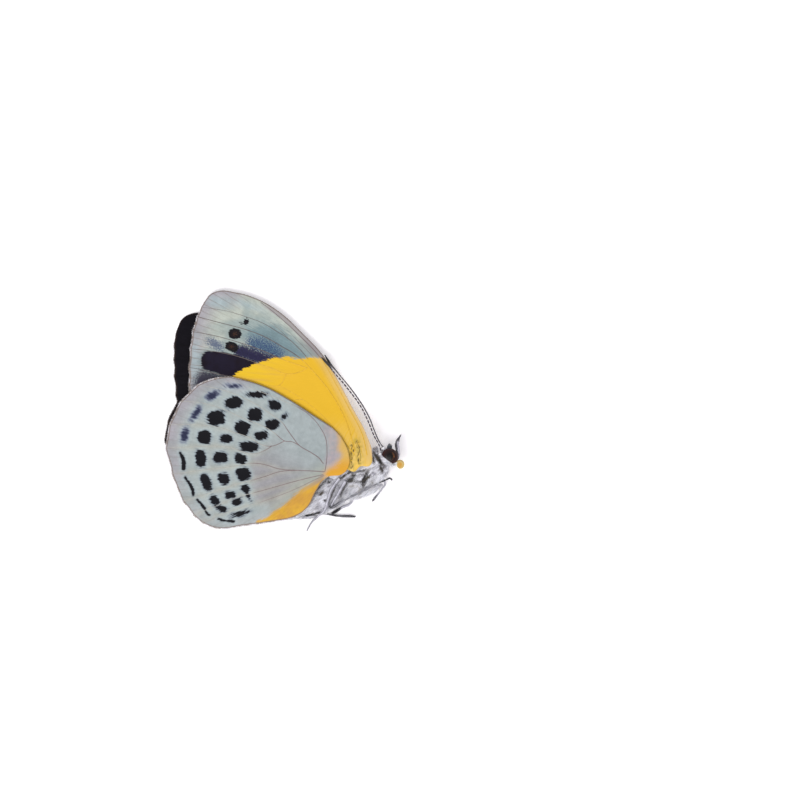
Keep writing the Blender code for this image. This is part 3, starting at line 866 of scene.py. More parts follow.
scaleColours = {
    "spotted": shade(161, 170, 169),
    "basalBlue": shade(156, 165, 166),
    "basalWarm": shade(148, 147, 150),
    "lowGreen": shade(156, 161, 149),
    "lavender": shade(154, 150, 157),
    "halo": shade(158, 174, 178),
    "dusky": shade(34, 37, 62),
    "duskyRim": shade(98, 104, 134),
    "spotRim": shade(48, 54, 88),
    "black": shade(17, 17, 22),
    "orange": shade(224, 185, 42),
    "deepOrange": shade(221, 176, 46),
    "mustard": shade(206, 168, 74),
    "besideVein": shade(170, 166, 150),
    "foldGrey": shade(150, 138, 128),
    "lobeTan": shade(206, 170, 94),
    "lobePeach": shade(188, 161, 130),
    "pink": shade(184, 158, 176),
    "foldOrange": shade(192, 144, 62),
    "foldYellow": shade(204, 158, 56),
    "lobeOrange": shade(210, 154, 50),
    "lilac": shade(162, 158, 161),
    "tan": shade(122, 106, 98),
    "cream": shade(178, 184, 174),
    "teal": shade(116, 137, 142),
    "blueSpeckle": shade(52, 68, 106),
    "tealSpeckle": shade(84, 116, 128),
    "navy": shade(30, 26, 48),
    "navyPatch": shade(38, 36, 62),
    "band": shade(20, 12, 22),
    "costaGrey": shade(119, 120, 123),
    "costaPink": shade(150, 141, 144),
    "paleCosta": shade(218, 184, 112),
    # painted highlight along the forewing's costa
    "costaHighlight": shade(232, 200, 156),
    "gold": shade(226, 190, 104),
    "olive": shade(150, 140, 62),
    "velvet": shade(19, 17, 22),
    # painted sheen on the black velvet
    "violetSheen": shade(32, 28, 104),
    "lilacWarm": shade(170, 158, 158),
    "spotCore": shade(76, 50, 36),
    "speckInk": shade(74, 60, 40),
    "upperFold": shade(120, 100, 84),
    "upperRim": shade(70, 54, 46),
}


class Scales(Paint):
    # a wing finish: fine rows of scales and streaks along them; its colours go by their names above
    def __init__(self, name, gloss=0.1):
        super().__init__(name, Roughness=0.6, Specular_IOR_Level=gloss)
        self.streak = self.centred(self.noise(self.stretched(0.75, 4.6), detail=3, roughness=0.65))
        self.grain = self.centred(self.noise(self.stretched(6.5, 7.5)))
        self.bump(self.noise(self.stretched(11, 4), detail=1), 0.02, 0.35)

    def stretched(self, along, across):
        return self.vector(self.times("along", along), self.times("across", across))

    def mix(self, factor, first, second, blend="MIX"):
        first, second = (scaleColours[tone] if isinstance(tone, str) else tone for tone in (first, second))
        return super().mix(factor, first, second, blend)

    def frayed(self, distance, soft, shift, share):
        # a patch whose edge is ragged along the rows of scales
        return self.within(distance, soft, shift, self.times(self.streak, share))

    def lopsided(self):
        # how the edges of spots stray: ragged along the rows, and a little out of round
        wide = self.centred(self.noise(self.place(), 1.1, 1))
        return self.plus(self.times(self.streak, 0.92), self.times(wide, 0.38))

    def tinted(self, colour, depth=0.3, grainDepth=0.3):
        level = self.plus(self.times(self.streak, depth), self.times(self.grain, grainDepth))
        return self.brighten(colour, self.plus(level, 1.0))

    def weather(self, mottle, cloud, darkest, depth):
        ground = self.brighten(self.ground, self.ramp(mottle, 0.25, 0.75, 0.9, 1.06))
        ground = self.brighten(ground, self.ramp(cloud, 0.25, 0.75, darkest, 1.05))
        self.ground = self.tinted(ground, depth)

    def creases(self, reach, strength):
        # thin brown lines that run in from the outer edge between the veins
        wave = self.plus(self.times("across", 1.35), self.times(self.streak, 0.3))
        crease = self.maths("ABSOLUTE", self.centred(self.maths("FRACT", wave)))
        crease = self.ramp(crease, 0.0, 0.085, 1.0, 0.0)
        self.coat("tan", self.times(crease, self.ramp("margin", 0.3, reach, strength, 0.0)))


def hindwingUnderside():
    paint = Scales("spotted hindwing scales")
    jag = paint.lopsided()
    mottle = paint.noise(paint.place(), 0.55, 3)
    cloud = paint.noise(paint.place(), 1.9, 3)
    up = paint.part(paint.place(), 1)
    paint.ground = paint.mix("warm", "basalBlue", "basalWarm")
    paint.coat("lowGreen", paint.ramp("fold", 0.1, 2.4, 0.7, 0.0))
    paint.coat("spotted", paint.frayed("spottedZone", 0.9, 0.0, 3))
    paint.coat("besideVein", paint.times(paint.ramp("vein", 0.05, 0.75, 1.0, 0.0), "warm"), 0.35)
    lavender = paint.ramp("margin", 0.2, 2.6, 1.0, 0.0)
    lavender = paint.times(lavender, paint.ramp(mottle, 0.2, 0.7, 0.55, 0.95))
    paint.coat("lavender", paint.times(lavender, paint.ramp(up, -11.5, -7.0, 0.35)))
    lilac = paint.mix(paint.ramp(cloud, 0.4, 0.7), "lilac", "lilacWarm")
    paint.coat(lilac, paint.within("lilac", 0.5), 0.85)
    around = paint.maths("MINIMUM", paint.maths("MINIMUM", "black", "dusky"), "crescent")
    paint.coat("halo", paint.within(around, 0.3, 0.35), 0.35)
    paint.weather(mottle, cloud, 0.94, 0.3)
    paint.creases(3.2, 0.26)
    orange = paint.mix(paint.ramp(mottle, 0.35, 0.6), "foldOrange", "foldYellow")
    grey = paint.times(paint.ramp("along", 1.5, 6.5, 0.8, 0.0), paint.ramp("fold", -0.75, -0.3))
    orange = paint.tinted(paint.mix(grey, orange, "foldGrey"), 0.6, 0.16)
    paint.coat(orange, paint.frayed("fold", 0.26, 0.0, 1.6))
    orange = paint.mix(paint.ramp(up, -8.0, -5.8), "lobeOrange", "lobeTan")
    orange = paint.mix(paint.frayed("lobe", 0.35, -0.42, 1.6), "lobePeach", orange)
    paint.coat(paint.tinted(orange, 0.4, 0.16), paint.frayed("lobe", 0.4, 0.0, 1.2))
    pink = paint.times(paint.within("pinkStreaks", 0.5), paint.ramp(paint.streak, 0.0, 0.14, 0.0, 0.75))
    paint.coat("pink", pink)
    paint.coat("duskyRim", paint.within("dusky", 0.24, 0.14, jag), 0.75)
    paint.coat("dusky", paint.within("dusky", 0.18, 0.0, jag), 0.95)
    paint.coat("spotRim", paint.within("black", 0.16, 0.09, jag), 0.55)
    paint.coat("black", paint.within("black", 0.05, -0.01, jag))
    paint.coat("dusky", paint.frayed("crescent", 0.14, 0.05, 0.4), 0.5)
    paint.coat("black", paint.frayed("crescent", 0.06, -0.01, 0.4))
    rim = paint.times(paint.ramp("edge", 0.08, 0.2, 0.75, 0.0), paint.ramp("lobe", 0.2, 1.0))
    paint.coat("tan", rim)
    return paint.finish()


def forewingUnderside():
    paint = Scales("banded forewing scales")
    jag = paint.lopsided()
    mottle = paint.noise(paint.place(), 0.5, 3)
    cloud = paint.noise(paint.place(), 1.9, 3)
    dust = paint.centred(paint.noise(paint.stretched(6, 6)))
    right, up = paint.part(paint.place(), 0), paint.part(paint.place(), 1)
    paint.ground = paint.mix(paint.frayed("teal", 1.2, 0.0, 2), "cream", "teal")
    paint.coat("lavender", paint.ramp("margin", 0.2, 3.2, 0.9, 0.0))
    paint.coat("halo", paint.within("apexBlue", 0.6, 0.1, jag), 0.8)
    around = paint.maths("MINIMUM", "black", "band")
    paint.coat("teal", paint.within(around, 0.4, 0.5), 0.5)
    paint.weather(mottle, cloud, 0.95, 0.4)
    paint.creases(5.5, 0.6)
    blue = paint.mix(paint.ramp(dust, -0.05, 0.12), "blueSpeckle", "tealSpeckle")
    paint.coat(blue, paint.within("speckle", 0.6, 0.0, paint.times(dust, 3.6)), 0.95)
    paint.coat("blueSpeckle", paint.within("smudge", 0.42, 0.1, paint.times(dust, 1.8)), 0.8)
    navy = paint.brighten("navyPatch", paint.ramp(dust, -0.1, 0.1, 1.3, 0.85))
    paint.coat(navy, paint.within("navy", 0.34, 0.03, paint.times(dust, 2.2)))
    paint.coat("navy", paint.within("lowerBand", 0.7, 0.15, paint.times(dust, 2.0)), 0.94)
    band = paint.mix(paint.ramp(mottle, 0.3, 0.7, 0.0, 0.5), "band", "navy")
    paint.coat(paint.tinted(band, 0.5, 0.4), paint.within("band", 0.14, 0.04, jag))
    core = paint.within("black", 0.2, -0.5, paint.times(paint.grain, 1.8))
    spot = paint.mix(paint.times(core, 0.6), "black", "spotCore")
    paint.coat(spot, paint.frayed("black", 0.06, 0.0, 0.6))
    grey = paint.times(paint.ramp("costa", 0.5, 1.9, 1.0, 0.0), paint.within("orange", 0.8, 2.4, jag))
    paint.coat("costaGrey", grey, 0.7)
    strip = paint.times(paint.ramp("costa", 0.55, 0.75, 0.75, 0.0), paint.ramp(right, -3.8, -1.8))
    paint.coat("costaPink", strip)
    lines = paint.noise(paint.stretched(0.12, 1.1), detail=3)
    orange = paint.mix(paint.ramp(lines, 0.45, 0.68), "orange", "mustard")
    orange = paint.mix(paint.ramp("along", 10.0, 18.0, 0.0, 0.75), "deepOrange", orange)
    gold = paint.times(paint.ramp(up, -6.0, 0.0, 1.0, 0.0), paint.ramp(lines, 0.3, 0.6))
    orange = paint.mix(gold, orange, "gold")
    orange = paint.mix(paint.times(paint.ramp("costa", 0.3, 1.7, 1.0, 0.0), 0.85), orange, "paleCosta")
    # a thin painted highlight along the costa's edge
    orange = paint.mix(paint.ramp("costa", 0.02, 0.3, 0.7, 0.0), orange, "costaHighlight")
    orange = paint.tinted(orange, 0.16, 0.1)
    olive = paint.times(paint.ramp("specks", 0.2, 1.0, 0.4, 0.0), paint.ramp(cloud, 0.35, 0.6))
    orange = paint.mix(olive, orange, "olive")
    inked = paint.ramp(paint.noise(paint.stretched(1.5, 3.6)), 0.47, 0.58)
    inked = paint.times(inked, paint.ramp("specks", 0.12, 0.36, 0.9, 0.0))
    orange = paint.mix(inked, orange, "speckInk")
    paint.coat(orange, paint.frayed("orange", 0.07, 0.0, 1.5))
    rim = paint.times(paint.ramp("edge", 0.08, 0.2, 0.8, 0.0), paint.ramp("orange", -0.2, 0.2))
    paint.coat("tan", rim)
    return paint.finish()


def upperside(name, *marks):
    # black velvet under its marks, each a colour, a patch, how soft, how ragged and how strong
    paint = Scales(name, 0.04)
    paint.ground = paint.tinted("velvet", 1.1, 0.8)
    for colour, patch, soft, ragged, strength in marks:
        if colour == "orange":
            colour = paint.tinted(colour, 0.15, 0.1)
        paint.coat(colour, paint.frayed(patch, soft, 0.0, ragged), strength)
    paint.coat("upperRim", paint.ramp("edge", 0.05, 0.25, 0.25, 0.0))
    return paint.finish()


def veinFinish(name, brown, pale, gloss=0.3):
    paint = Paint(name, Roughness=0.55, Specular_IOR_Level=gloss)
    paint.ground = paint.uneven(paint.mix("pale", brown, pale), paint.noise(paint.place(), 3.0, 2))
    return paint.finish()


def fringeFinish(name, light, dark):
    paint = Paint(name, Roughness=0.7)
    paint.ground = paint.mix(paint.ramp(paint.noise(paint.place(), 1.6, 3), 0.42, 0.6), light, dark)
    return paint.finish()


hindwingUnder, forewingUnder = hindwingUnderside(), forewingUnderside()
# the forewing's velvet carries a painted violet sheen
forewingUpper = upperside(
    "velvet forewing scales", ("orange", "upperOrange", 0.12, 1.4, 1.0), ("violetSheen", "paintedSheen", 0.5, 1.6, 0.9)
)
hindwingUpper = upperside("velvet hindwing scales", ("upperFold", "fold", 0.3, 1.0, 0.6))
paleFringe = fringeFinish("pale fringe", shade(236, 233, 238), shade(172, 160, 154))
darkFringe = fringeFinish("dark fringe", shade(20, 16, 19), shade(84, 64, 54))
forewingVeinInk = veinFinish("forewing vein", shade(98, 86, 84), shade(218, 174, 52))
hindwingVeinInk = veinFinish("hindwing vein", shade(130, 116, 116), shade(170, 169, 162))
blackVeinInk = veinFinish("upperside vein", shade(14, 12, 15), shade(24, 20, 22), 0.04)

wingPiece(
    "right_hindwing", lambda row: closedHeight(row) + wings["hindwingLift"], 0,
    (hindwingUnder, hindwingUpper, hindwingVeinInk, paleFringe), wings["ripple"],
)
wingPiece(
    "right_forewing", closedHeight, 0,
    (forewingUnder, forewingUpper, forewingVeinInk, paleFringe), wings["ripple"],
)
wingPiece(
    "left_forewing", leftForewingHeight, wings["leftForewingTurn"],
    (forewingUpper, forewingUnder, blackVeinInk, darkFringe), wings["ripple"] * 0.6,
)
wingPiece(
    "left_hindwing", lambda row: np.full(len(row), wings["leftHindwingHeight"]), wings["leftHindwingTurn"],
    (hindwingUpper, hindwingUnder, blackVeinInk, darkFringe), wings["ripple"] * 0.4,
)
print("stage 2: wings, veins and fringes are made")


# The body under its hair

body = {
    "turn": 31.7,
    "height": 2.3,
    "thorax": ((9.9, -8.3), (3.9, 3.0, 1.52)),
    "head": ((14.4, -6.45), (1.2, 1.25, 0.9)),
    "abdomen": (
        (8.2, -9.4, 2.15, 0.7), (7.4, -10.0, 2.08, 1.3), (6.5, -10.85, 1.98, 1.42),
        (4.7, -12.6, 1.8, 1.22), (2.4, -13.62, 1.55, 0.78), (0.9, -14.5, 1.35, 0.42),
        (0.3, -14.8, 1.3, 0.12),
    ),
    "abdomenRings": 0.95,
    "blots": (  # where the skin and the hair on it are dark: dark marks, and thin lines of painted shade beside the femurs
        (9.3, -9.5, 1.0, 0.6, 20), (11.5, -8.6, 0.26, 0.75, -30), (11.2, -9.5, 0.62, 1.2, -25),
        (11.55, -9.2, 0.9, 0.3, 25), (11.0, -10.2, 0.3, 0.6, 20), (10.2, -9.75, 0.6, 0.16, 0),
        (6.3, -9.85, 0.35, 0.2, 0), (5.2, -11.4, 0.6, 0.3, 45), (5.8, -12.4, 0.4, 0.25, 0),
        (13.1, -6.65, 1.8, 0.36, -54), (12.4, -6.7, 0.7, 0.2, -80), (13.5, -8.0, 0.7, 0.16, -70),
        (8.2, -9.1, 0.8, 0.2, 35), (9.7, -8.9, 0.5, 0.3, 10), (7.4, -9.6, 0.5, 0.15, 50),
        (8.6, -10.3, 1.3, 0.12, 62), (9.15, -8.35, 0.6, 0.25, 40), (6.7, -11.5, 2.2, 0.1, 64),
        (8.1, -11.0, 0.8, 0.1, 62), (10.6, -8.3, 1.2, 0.16, 12),
    ),
    "lobes": (  # leg bases and plates that stand out from the thorax: place, half sizes and tilt
        (9.55, -10.9, 3.0, 1.6, 0.72, 0.5, 37), (10.6, -9.15, 3.6, 0.7, 0.5, 0.4, 20),
        (13.0, -9.0, 2.7, 1.2, 0.95, 0.9, 35), (11.9, -11.0, 2.4, 2.0, 0.45, 0.5, 24),
        (8.9, -8.95, 3.75, 0.8, 0.35, 0.3, 24), (7.5, -12.75, 1.7, 1.6, 0.36, 0.6, 33),
        (7.3, -11.8, 2.2, 1.2, 0.7, 0.8, 62), (6.0, -13.5, 1.5, 1.0, 0.45, 0.5, 38),
        (14.0, -8.2, 2.3, 0.95, 0.5, 0.7, 62), (13.6, -7.6, 2.0, 0.8, 0.7, 0.6, 40),
        (12.5, -5.7, 1.4, 0.9, 0.45, 0.5, 65), (3.1, -14.78, 0.25, 1.8, 0.18, 0.18, 3),
    ),
}


def skinFrom(centre, half, lumps, seed):
    # an egg-shaped skin with low lumps; also gives each point's outward way and its roughness
    ahead, up = planeAxes(body["turn"])
    unit, faces = unitBall(5)
    rough = fractal(unit, 2.2, 4, (seed, 0, 0))
    swollen = unit * (1 + lumps * rough)[:, None]
    points = (
        np.array((*centre, body["height"])) + swollen[:, :1] * half[0] * ahead
        + swollen[:, 1:2] * half[1] * up + swollen[:, 2:] * half[2] * np.array((0, 0, 1))
    )
    return points, faces, unit, rough


def bodyStreaks(paint, rows=2.1):
    # noise drawn out along the body
    ahead, up = planeAxes(body["turn"])
    place = paint.place()
    along = paint.vectorMaths("DOT_PRODUCT", place, tuple(ahead), 1)
    across = paint.vectorMaths("DOT_PRODUCT", place, (up[0], up[1], 0.4), 1)
    return paint.noise(paint.vector(paint.times(along, 0.42), paint.times(across, rows)), 1.0, 4, 0.65)


def bodyHairFinish():
    paint = Paint("grey body hair", Roughness=0.8, Sheen_Weight=0.2)
    streak = bodyStreaks(paint)
    cloud = paint.noise(paint.place(), 0.8, 3, 0.6)
    paint.ground = paint.mix(paint.ramp("tone", 0.1, 0.8), shade(234, 234, 241), shade(254, 254, 255))
    paint.coat(shade(186, 176, 158), paint.ramp(cloud, 0.55, 0.66), 0.5)
    paint.coat(shade(182, 192, 206), paint.ramp(cloud, 0.3, 0.42, 1.0, 0.0), 0.6)
    paint.coat(shade(118, 119, 132), paint.ramp(streak, 0.54, 0.64), 0.55)
    paint.coat(shade(110, 110, 122), paint.ramp("tone", 0.88, 0.92))
    # hair over the dark marks and the painted shade lines is dark
    dark = paint.mix(paint.ramp("tone", 0.4, 0.8), shade(18, 16, 20), shade(72, 66, 54))
    paint.coat(dark, "dark")
    return paint.finish()


def skinFinish():
    paint = Paint("body skin", Roughness=0.6)
    streak = bodyStreaks(paint, 1.6)
    fine = paint.noise(paint.place(), 9.0, 3)
    colour = paint.mix(paint.ramp(streak, 0.4, 0.62), shade(224, 224, 232), shade(156, 154, 162))
    paint.ground = paint.uneven(colour, fine)
    # dark marks, and thin lines of painted shade beside the femurs
    dark = paint.mix(paint.ramp(streak, 0.45, 0.55), shade(34, 30, 32), shade(62, 54, 40))
    paint.coat(dark, paint.within("blot", 0.12, 0.08, paint.times(paint.centred(fine), 0.6)))
    paint.bump(fine, 0.05, 0.6)
    return paint.finish()


hairInk, skinInk = bodyHairFinish(), skinFinish()


def settle(piece, lowest=0.02, highest=4.44):
    # hair tips bend along what they touch
    points = np.empty(len(piece.data.vertices) * 3, np.float32)
    piece.data.vertices.foreach_get("co", points)
    points[2::3] = np.clip(points[2::3], lowest * mm, highest * mm)
    piece.data.vertices.foreach_set("co", points)
    piece.data.update()


def hairyPiece(name, points, faces, flow, cover, grown, node=None, **settings):
    # a skin and the hair on it, both riding with the body; hair that grows out of the dark marks and the
    # painted shade lines is short and dark
    node = node or name
    blot = spotDistance(points[:, :2], body["blots"])
    skin = addObject(name, meshFrom(name, points, faces, blot=blot), skinInk)
    attach(skin, node, replace=node == name)
    grown = grown * (0.4 + 0.6 * ease(blot, -0.1, 0.7))
    dark = ease(-blot, -0.13, 0.04)
    host = meshFrom(name + "Roots", points, faces, flow=flow, cover=cover, grown=grown, dark=dark)
    fur = hairs.grow(name + "_hair", host, hairInk, **settings)
    settle(fur)
    attach(fur, node, replace=False)
    print("   ", name, len(fur.data.polygons), "faces of hair")


def buildThorax():
    ahead, up = planeAxes(body["turn"])
    centre, half = body["thorax"]
    points, faces, unit, rough = skinFrom(centre, half, 0.05, 3.0)
    belly = np.clip(-unit[:, 1], 0, 1)
    flow = -ahead * (0.9 + 0.1 * belly)[:, None] - up * (0.1 + 0.28 * belly)[:, None]
    underWing = ease(unit[:, 1] + 0.55 * np.abs(unit[:, 2]), 0.25, 0.6)  # the back lies between the wings
    cover = (0.55 + 0.45 * ease(rough, -0.35, 0.1)) * (1 - 0.75 * underWing)
    grown = (0.8 + 0.3 * belly) * (1 - 0.5 * underWing)
    hairyPiece(
        "thorax", points, faces, flow, cover, grown,
        Density=100e6, Length=1.15 * mm, Thickness=0.027, Bend=0.12, Lift=0.09, Spread=0.13, Seed=11,
    )


def buildLobes():
    # smooth lobes under short hair, all one skin, so that the flank has the relief of the leg bases
    points, faces, ways = [], [], []
    ball, ballFaces = unitBall(4)
    for x, y, z, long, wide, deep, tilt in body["lobes"]:
        faces += [tuple(len(points) + corner for corner in face) for face in ballFaces]
        along, across = planeAxes(tilt)
        unit = ball * (1 + 0.07 * fractal(ball, 1.6, 3, (x, y, 0)))[:, None]
        place = np.array((x, y, z)) + unit[:, :1] * long * along + unit[:, 1:2] * wide * across
        place[:, 2] += unit[:, 2] * deep
        points.extend(place.tolist())
        ways.extend([-along - across * 0.25] * len(place))
    points, ways = np.array(points), np.array(ways)
    hairyPiece(
        "thorax_lobes", points, faces, ways, np.ones(len(points)), np.ones(len(points)), node="thorax",
        Density=85e6, Length=0.75 * mm, Thickness=0.028, Bend=0.1, Lift=0.12, Spread=0.13, Seed=17,
    )


def sweep(path, sides):
    # a closed round body along a path of x, y, z and radius
    tangent = np.gradient(path[:, :3], axis=0)
    tangent /= np.linalg.norm(tangent, axis=1)[:, None]
    side = np.cross(tangent, (0, 0, 1))
    side /= np.linalg.norm(side, axis=1)[:, None]
    rise = np.cross(side, tangent)
    angles = np.linspace(0, math.tau, sides, endpoint=False)
    rings = [
        place[:3] + place[3] * (np.cos(angles)[:, None] * across + np.sin(angles)[:, None] * upward)
        for place, across, upward in zip(path, side, rise)
    ]
    points = np.vstack(rings + [path[:1, :3], path[-1:, :3]])
    faces = []
    for ring in range(len(path) - 1):
        for step in range(sides):
            low, high = ring * sides + step, ring * sides + (step + 1) % sides
            faces.append((low, low + sides, high + sides, high))
    first, last = len(points) - 2, len(points) - 1
    base = (len(path) - 1) * sides
    faces += [(first, step, (step + 1) % sides) for step in range(sides)]
    faces += [(last, base + (step + 1) % sides, base + step) for step in range(sides)]
    return points, faces, np.vstack((np.repeat(tangent, sides, 0), tangent[:1], tangent[-1:]))


def buildAbdomen():
    path = smoothPath(body["abdomen"], 0.08)
    run = np.arange(len(path)) * 0.08
    grooves = np.abs(np.cos(np.pi * run / body["abdomenRings"])) ** 8
    path[:, 3] *= 1 - 0.05 * grooves
    points, faces, way = sweep(path, 40)
    rough = fractal(points, 0.9, 3)
    cover = 0.6 + 0.4 * ease(rough, -0.3, 0.1)
    hairyPiece(
        "abdomen", points, faces, way, cover, np.full(len(points), 0.8),
        Density=90e6, Length=0.8 * mm, Thickness=0.032, Bend=0.1, Lift=0.09, Spread=0.16, Seed=12,
    )


def buildHead():
    ahead, up = planeAxes(body["turn"])
    centre, half = body["head"]
    points, faces, unit, _ = skinFrom(centre, half, 0.04, 9.0)
    flow = -ahead * 0.35 + up * unit[:, 1:2] * 0.5 + np.array((0, 0, 1)) * unit[:, 2:] * 0.1
    cheek = np.array(eyeShape["cut"])
    past = (points[:, :2] - eyeShape["centre"]) @ cheek  # how far a point lies towards the cheek
    flow = np.where(past[:, None] > 0.3, ahead * 0.75 - up * 0.5, flow)
    eyes = [np.linalg.norm((points - eyeCentre(sign)) / eyeShape["half"], axis=1) for sign in (1, -1)]
    eyes = np.min(eyes, axis=0)
    cover = np.maximum(ease(eyes, 0.95, 1.15), ease(past, 0.5, 0.62))
    grown = 0.45 + 0.25 * ease(past, 0.3, 0.8)
    hairyPiece(
        "head", points, faces, flow, cover, grown,
        Density=170e6, Length=0.8 * mm, Thickness=0.034, Bend=0.2, Lift=0.2, Spread=0.2, Seed=13,
    )


# Eyes

eyeShape = {
    "centre": (14.72, -6.24),
    "half": (1.18, 1.04, 0.6),
    "turn": -35.6,
    "lift": 0.68,
    "cut": (-0.6, -0.8),  # towards the cheek, whose hair ends the eye in a straight line
    "cutAt": 0.6,
    "facet": 0.055,
}


def eyeCentre(sign):
    return np.array((*eyeShape["centre"], body["height"] + sign * eyeShape["lift"]))


def eyeFinish():
    paint = Paint("glossy faceted eye", Roughness=0.25, Specular_IOR_Level=0.2)
    place = paint.place()
    feeds = {"Vector": place, "Scale": 1 / eyeShape["facet"], "Randomness": 0.25}
    paint.bump(paint.node("ShaderNodeTexVoronoi", feeds), -0.02, 0.7)
    flat = paint.vectorMaths("MULTIPLY", place, (1, 1, 0))
    middle = paint.vectorMaths("DISTANCE", flat, (*eyeShape["centre"], 0), 1)
    cloud = paint.noise(place, 1.6, 3)
    paint.ground = paint.mix(paint.ramp(middle, 0.3, 0.7), shade(8, 5, 6), shade(34, 18, 18))
    paint.coat(shade(52, 26, 26), paint.ramp(middle, 0.75, 1.0))
    # painted highlight: an amber glint in a crescent right of the eye's middle
    ring = paint.times(paint.ramp(middle, 0.36, 0.5), paint.ramp(middle, 0.56, 0.72, 1.0, 0.0))
    ring = paint.times(ring, paint.ramp(paint.part(place, 0), 14.85, 15.15))
    paint.coat(shade(124, 78, 44), paint.times(ring, paint.ramp(cloud, 0.4, 0.56, 0.15, 0.8)))
    return paint.finish()


def buildEyes():
    ink = eyeFinish()
    long, short = planeAxes(eyeShape["turn"])
    cut = np.array((*eyeShape["cut"], 0))
    half = eyeShape["half"]
    unit, faces = unitBall(5)
    for side, sign in (("right", 1), ("left", -1)):
        centre = eyeCentre(sign)
        points = centre + unit[:, :1] * half[0] * long + unit[:, 1:2] * half[1] * short
        points[:, 2] += unit[:, 2] * half[2]
        over = np.maximum((points - centre) @ cut - eyeShape["cutAt"], 0)
        points -= over[:, None] * 0.85 * cut
        eye = addObject(side + "_eye", meshFrom(side + "_eye", points, faces), ink)
        attach(eye, side + "_eye")


buildThorax()
buildLobes()
buildAbdomen()
buildHead()
buildEyes()
print("stage 3: body, hair and eyes are made")


# Palps and the coiled proboscis

mouth = {
    "palp": (
        (15.65, -6.85, 0.12), (15.85, -6.1, 0.19), (15.75, -5.2, 0.25), (15.68, -4.5, 0.25),
        (15.9, -3.85, 0.15), (16.24, -3.25, 0.03),
    ),
    "palpHeights": {"right": 2.65, "left": 1.95},
    "coilCentre": (16.13, -7.44, 2.3),
    "coilTurns": 2.9,
    "coilEnd": 120,  # the way the last turn faces, in degrees
    "coilInner": 0.045,
    "coilOuter": 0.56,
    "coilTall": 1.1,  # the coil is a little pressed in from its sides
    "tube": 0.095,
    "rings": 26.0,
}
crest = {
    "start": (14.27, -5.25, 2.7),
    "step": (0.085, -0.02),
    "lean": (0.16, 0.1),
    "grown": (0.5, 0.75, 1.0, 1.05, 0.85, 0.7, 0.8, 0.9, 0.6),
}


def palpFinish():
    paint = Paint("palp scales", Roughness=0.75, Sheen_Weight=0.2)
    place = paint.place()
    x, y = paint.part(place, 0), paint.part(place, 1)
    lean = paint.plus(x, paint.times(y, 0.12))  # the back of the palp is dark, its face pale
    fine = paint.noise(place, 6.0, 3)
    edge = paint.plus(lean, paint.times(paint.centred(fine), 0.25))
    pale = paint.times(paint.ramp(edge, 15.04, 15.26), paint.ramp(y, -4.4, -4.0, 1.0, 0.0))
    paint.ground = paint.uneven(paint.mix(pale, shade(70, 68, 75), shade(206, 203, 214)), fine)
    return paint.finish()


def buildPalps():
    ink = palpFinish()
    sides = 16
    for side, z in mouth["palpHeights"].items():
        path = smoothPath([(x, y, z, radius) for x, y, radius in mouth["palp"]], 0.05)
        points, faces, way = sweep(path, sides)
        points[:, 2] = z + (points[:, 2] - z) * 0.8
        name = side + "_palp"
        palp = addObject(name, meshFrom(name, points, faces), ink)
        attach(palp, name)
        shrink = np.concatenate((np.repeat(np.linspace(1.0, 0.4, len(path)), sides), (1.0, 0.4)))
        cover = np.ones(len(points))
        host = meshFrom(name + "Roots", points, faces, flow=way, cover=cover, grown=shrink)
        fur = hairs.grow(
            name + "_scales", host, ink,
            Density=160e6, Length=0.34 * mm, Thickness=0.07, Bend=0.1, Lift=0.3, Spread=0.15, Seed=21,
        )
        attach(fur, name, replace=False)


def proboscisFinish():
    paint = Paint("amber proboscis", Roughness=0.5, Specular_IOR_Level=0.2)
    ringed = paint.maths("SINE", paint.times("along", mouth["rings"] * 2))
    colour = paint.mix(paint.ramp("along", 1.0, 2.2), shade(222, 170, 80), shade(224, 198, 128))
    colour = paint.mix(paint.ramp("along", 4.4, 5.4, 0.0, 0.6), colour, shade(176, 146, 108))
    paint.bump(ringed, 0.012, 0.8)
    paint.ground = paint.brighten(colour, paint.ramp(ringed, -1.0, 1.0, 0.85, 1.05))
    return paint.finish()


def buildProboscis():
    centre = np.array(mouth["coilCentre"])
    share = np.linspace(0, 1, 320)
    radius = mouth["coilInner"] + (mouth["coilOuter"] - mouth["coilInner"]) * share
    angle = math.radians(mouth["coilEnd"]) + math.tau * mouth["coilTurns"] * (share - 1)
    ringed = 1 + 0.05 * np.sin(share * mouth["rings"] * 12)
    path = np.column_stack((
        centre[0] + radius * np.cos(angle), centre[1] + radius * np.sin(angle) * mouth["coilTall"],
        np.full(len(share), centre[2]), mouth["tube"] * (0.45 + 0.55 * share ** 0.7) * ringed,
    ))
    out = path[-1, :3] - path[-2, :3]
    out /= np.linalg.norm(out)
    root = [(*(path[-1, :3] + out * reach), mouth["tube"]) for reach in np.linspace(0.04, 0.42, 12)]
    path = np.vstack((path, root))
    ink = proboscisFinish()
    piece = tubes.grow("proboscis", pathHost("coil", [path]), ink, Sides=12)
    attach(piece, "proboscis")
    unit, faces = unitBall(4)  # the turns lie on each other, so a flat core closes the gaps between them
    wide = mouth["coilOuter"] - mouth["tube"] * 0.6
    points = centre + unit * (wide, wide * mouth["coilTall"], mouth["tube"] * 0.35)
    along = 0.9 + np.linalg.norm(unit[:, :2], axis=1) ** 2 * 1.4
    core = addObject("proboscis_core", meshFrom("proboscis_core", points, faces, along=along), ink)
    attach(core, "proboscis", replace=False)


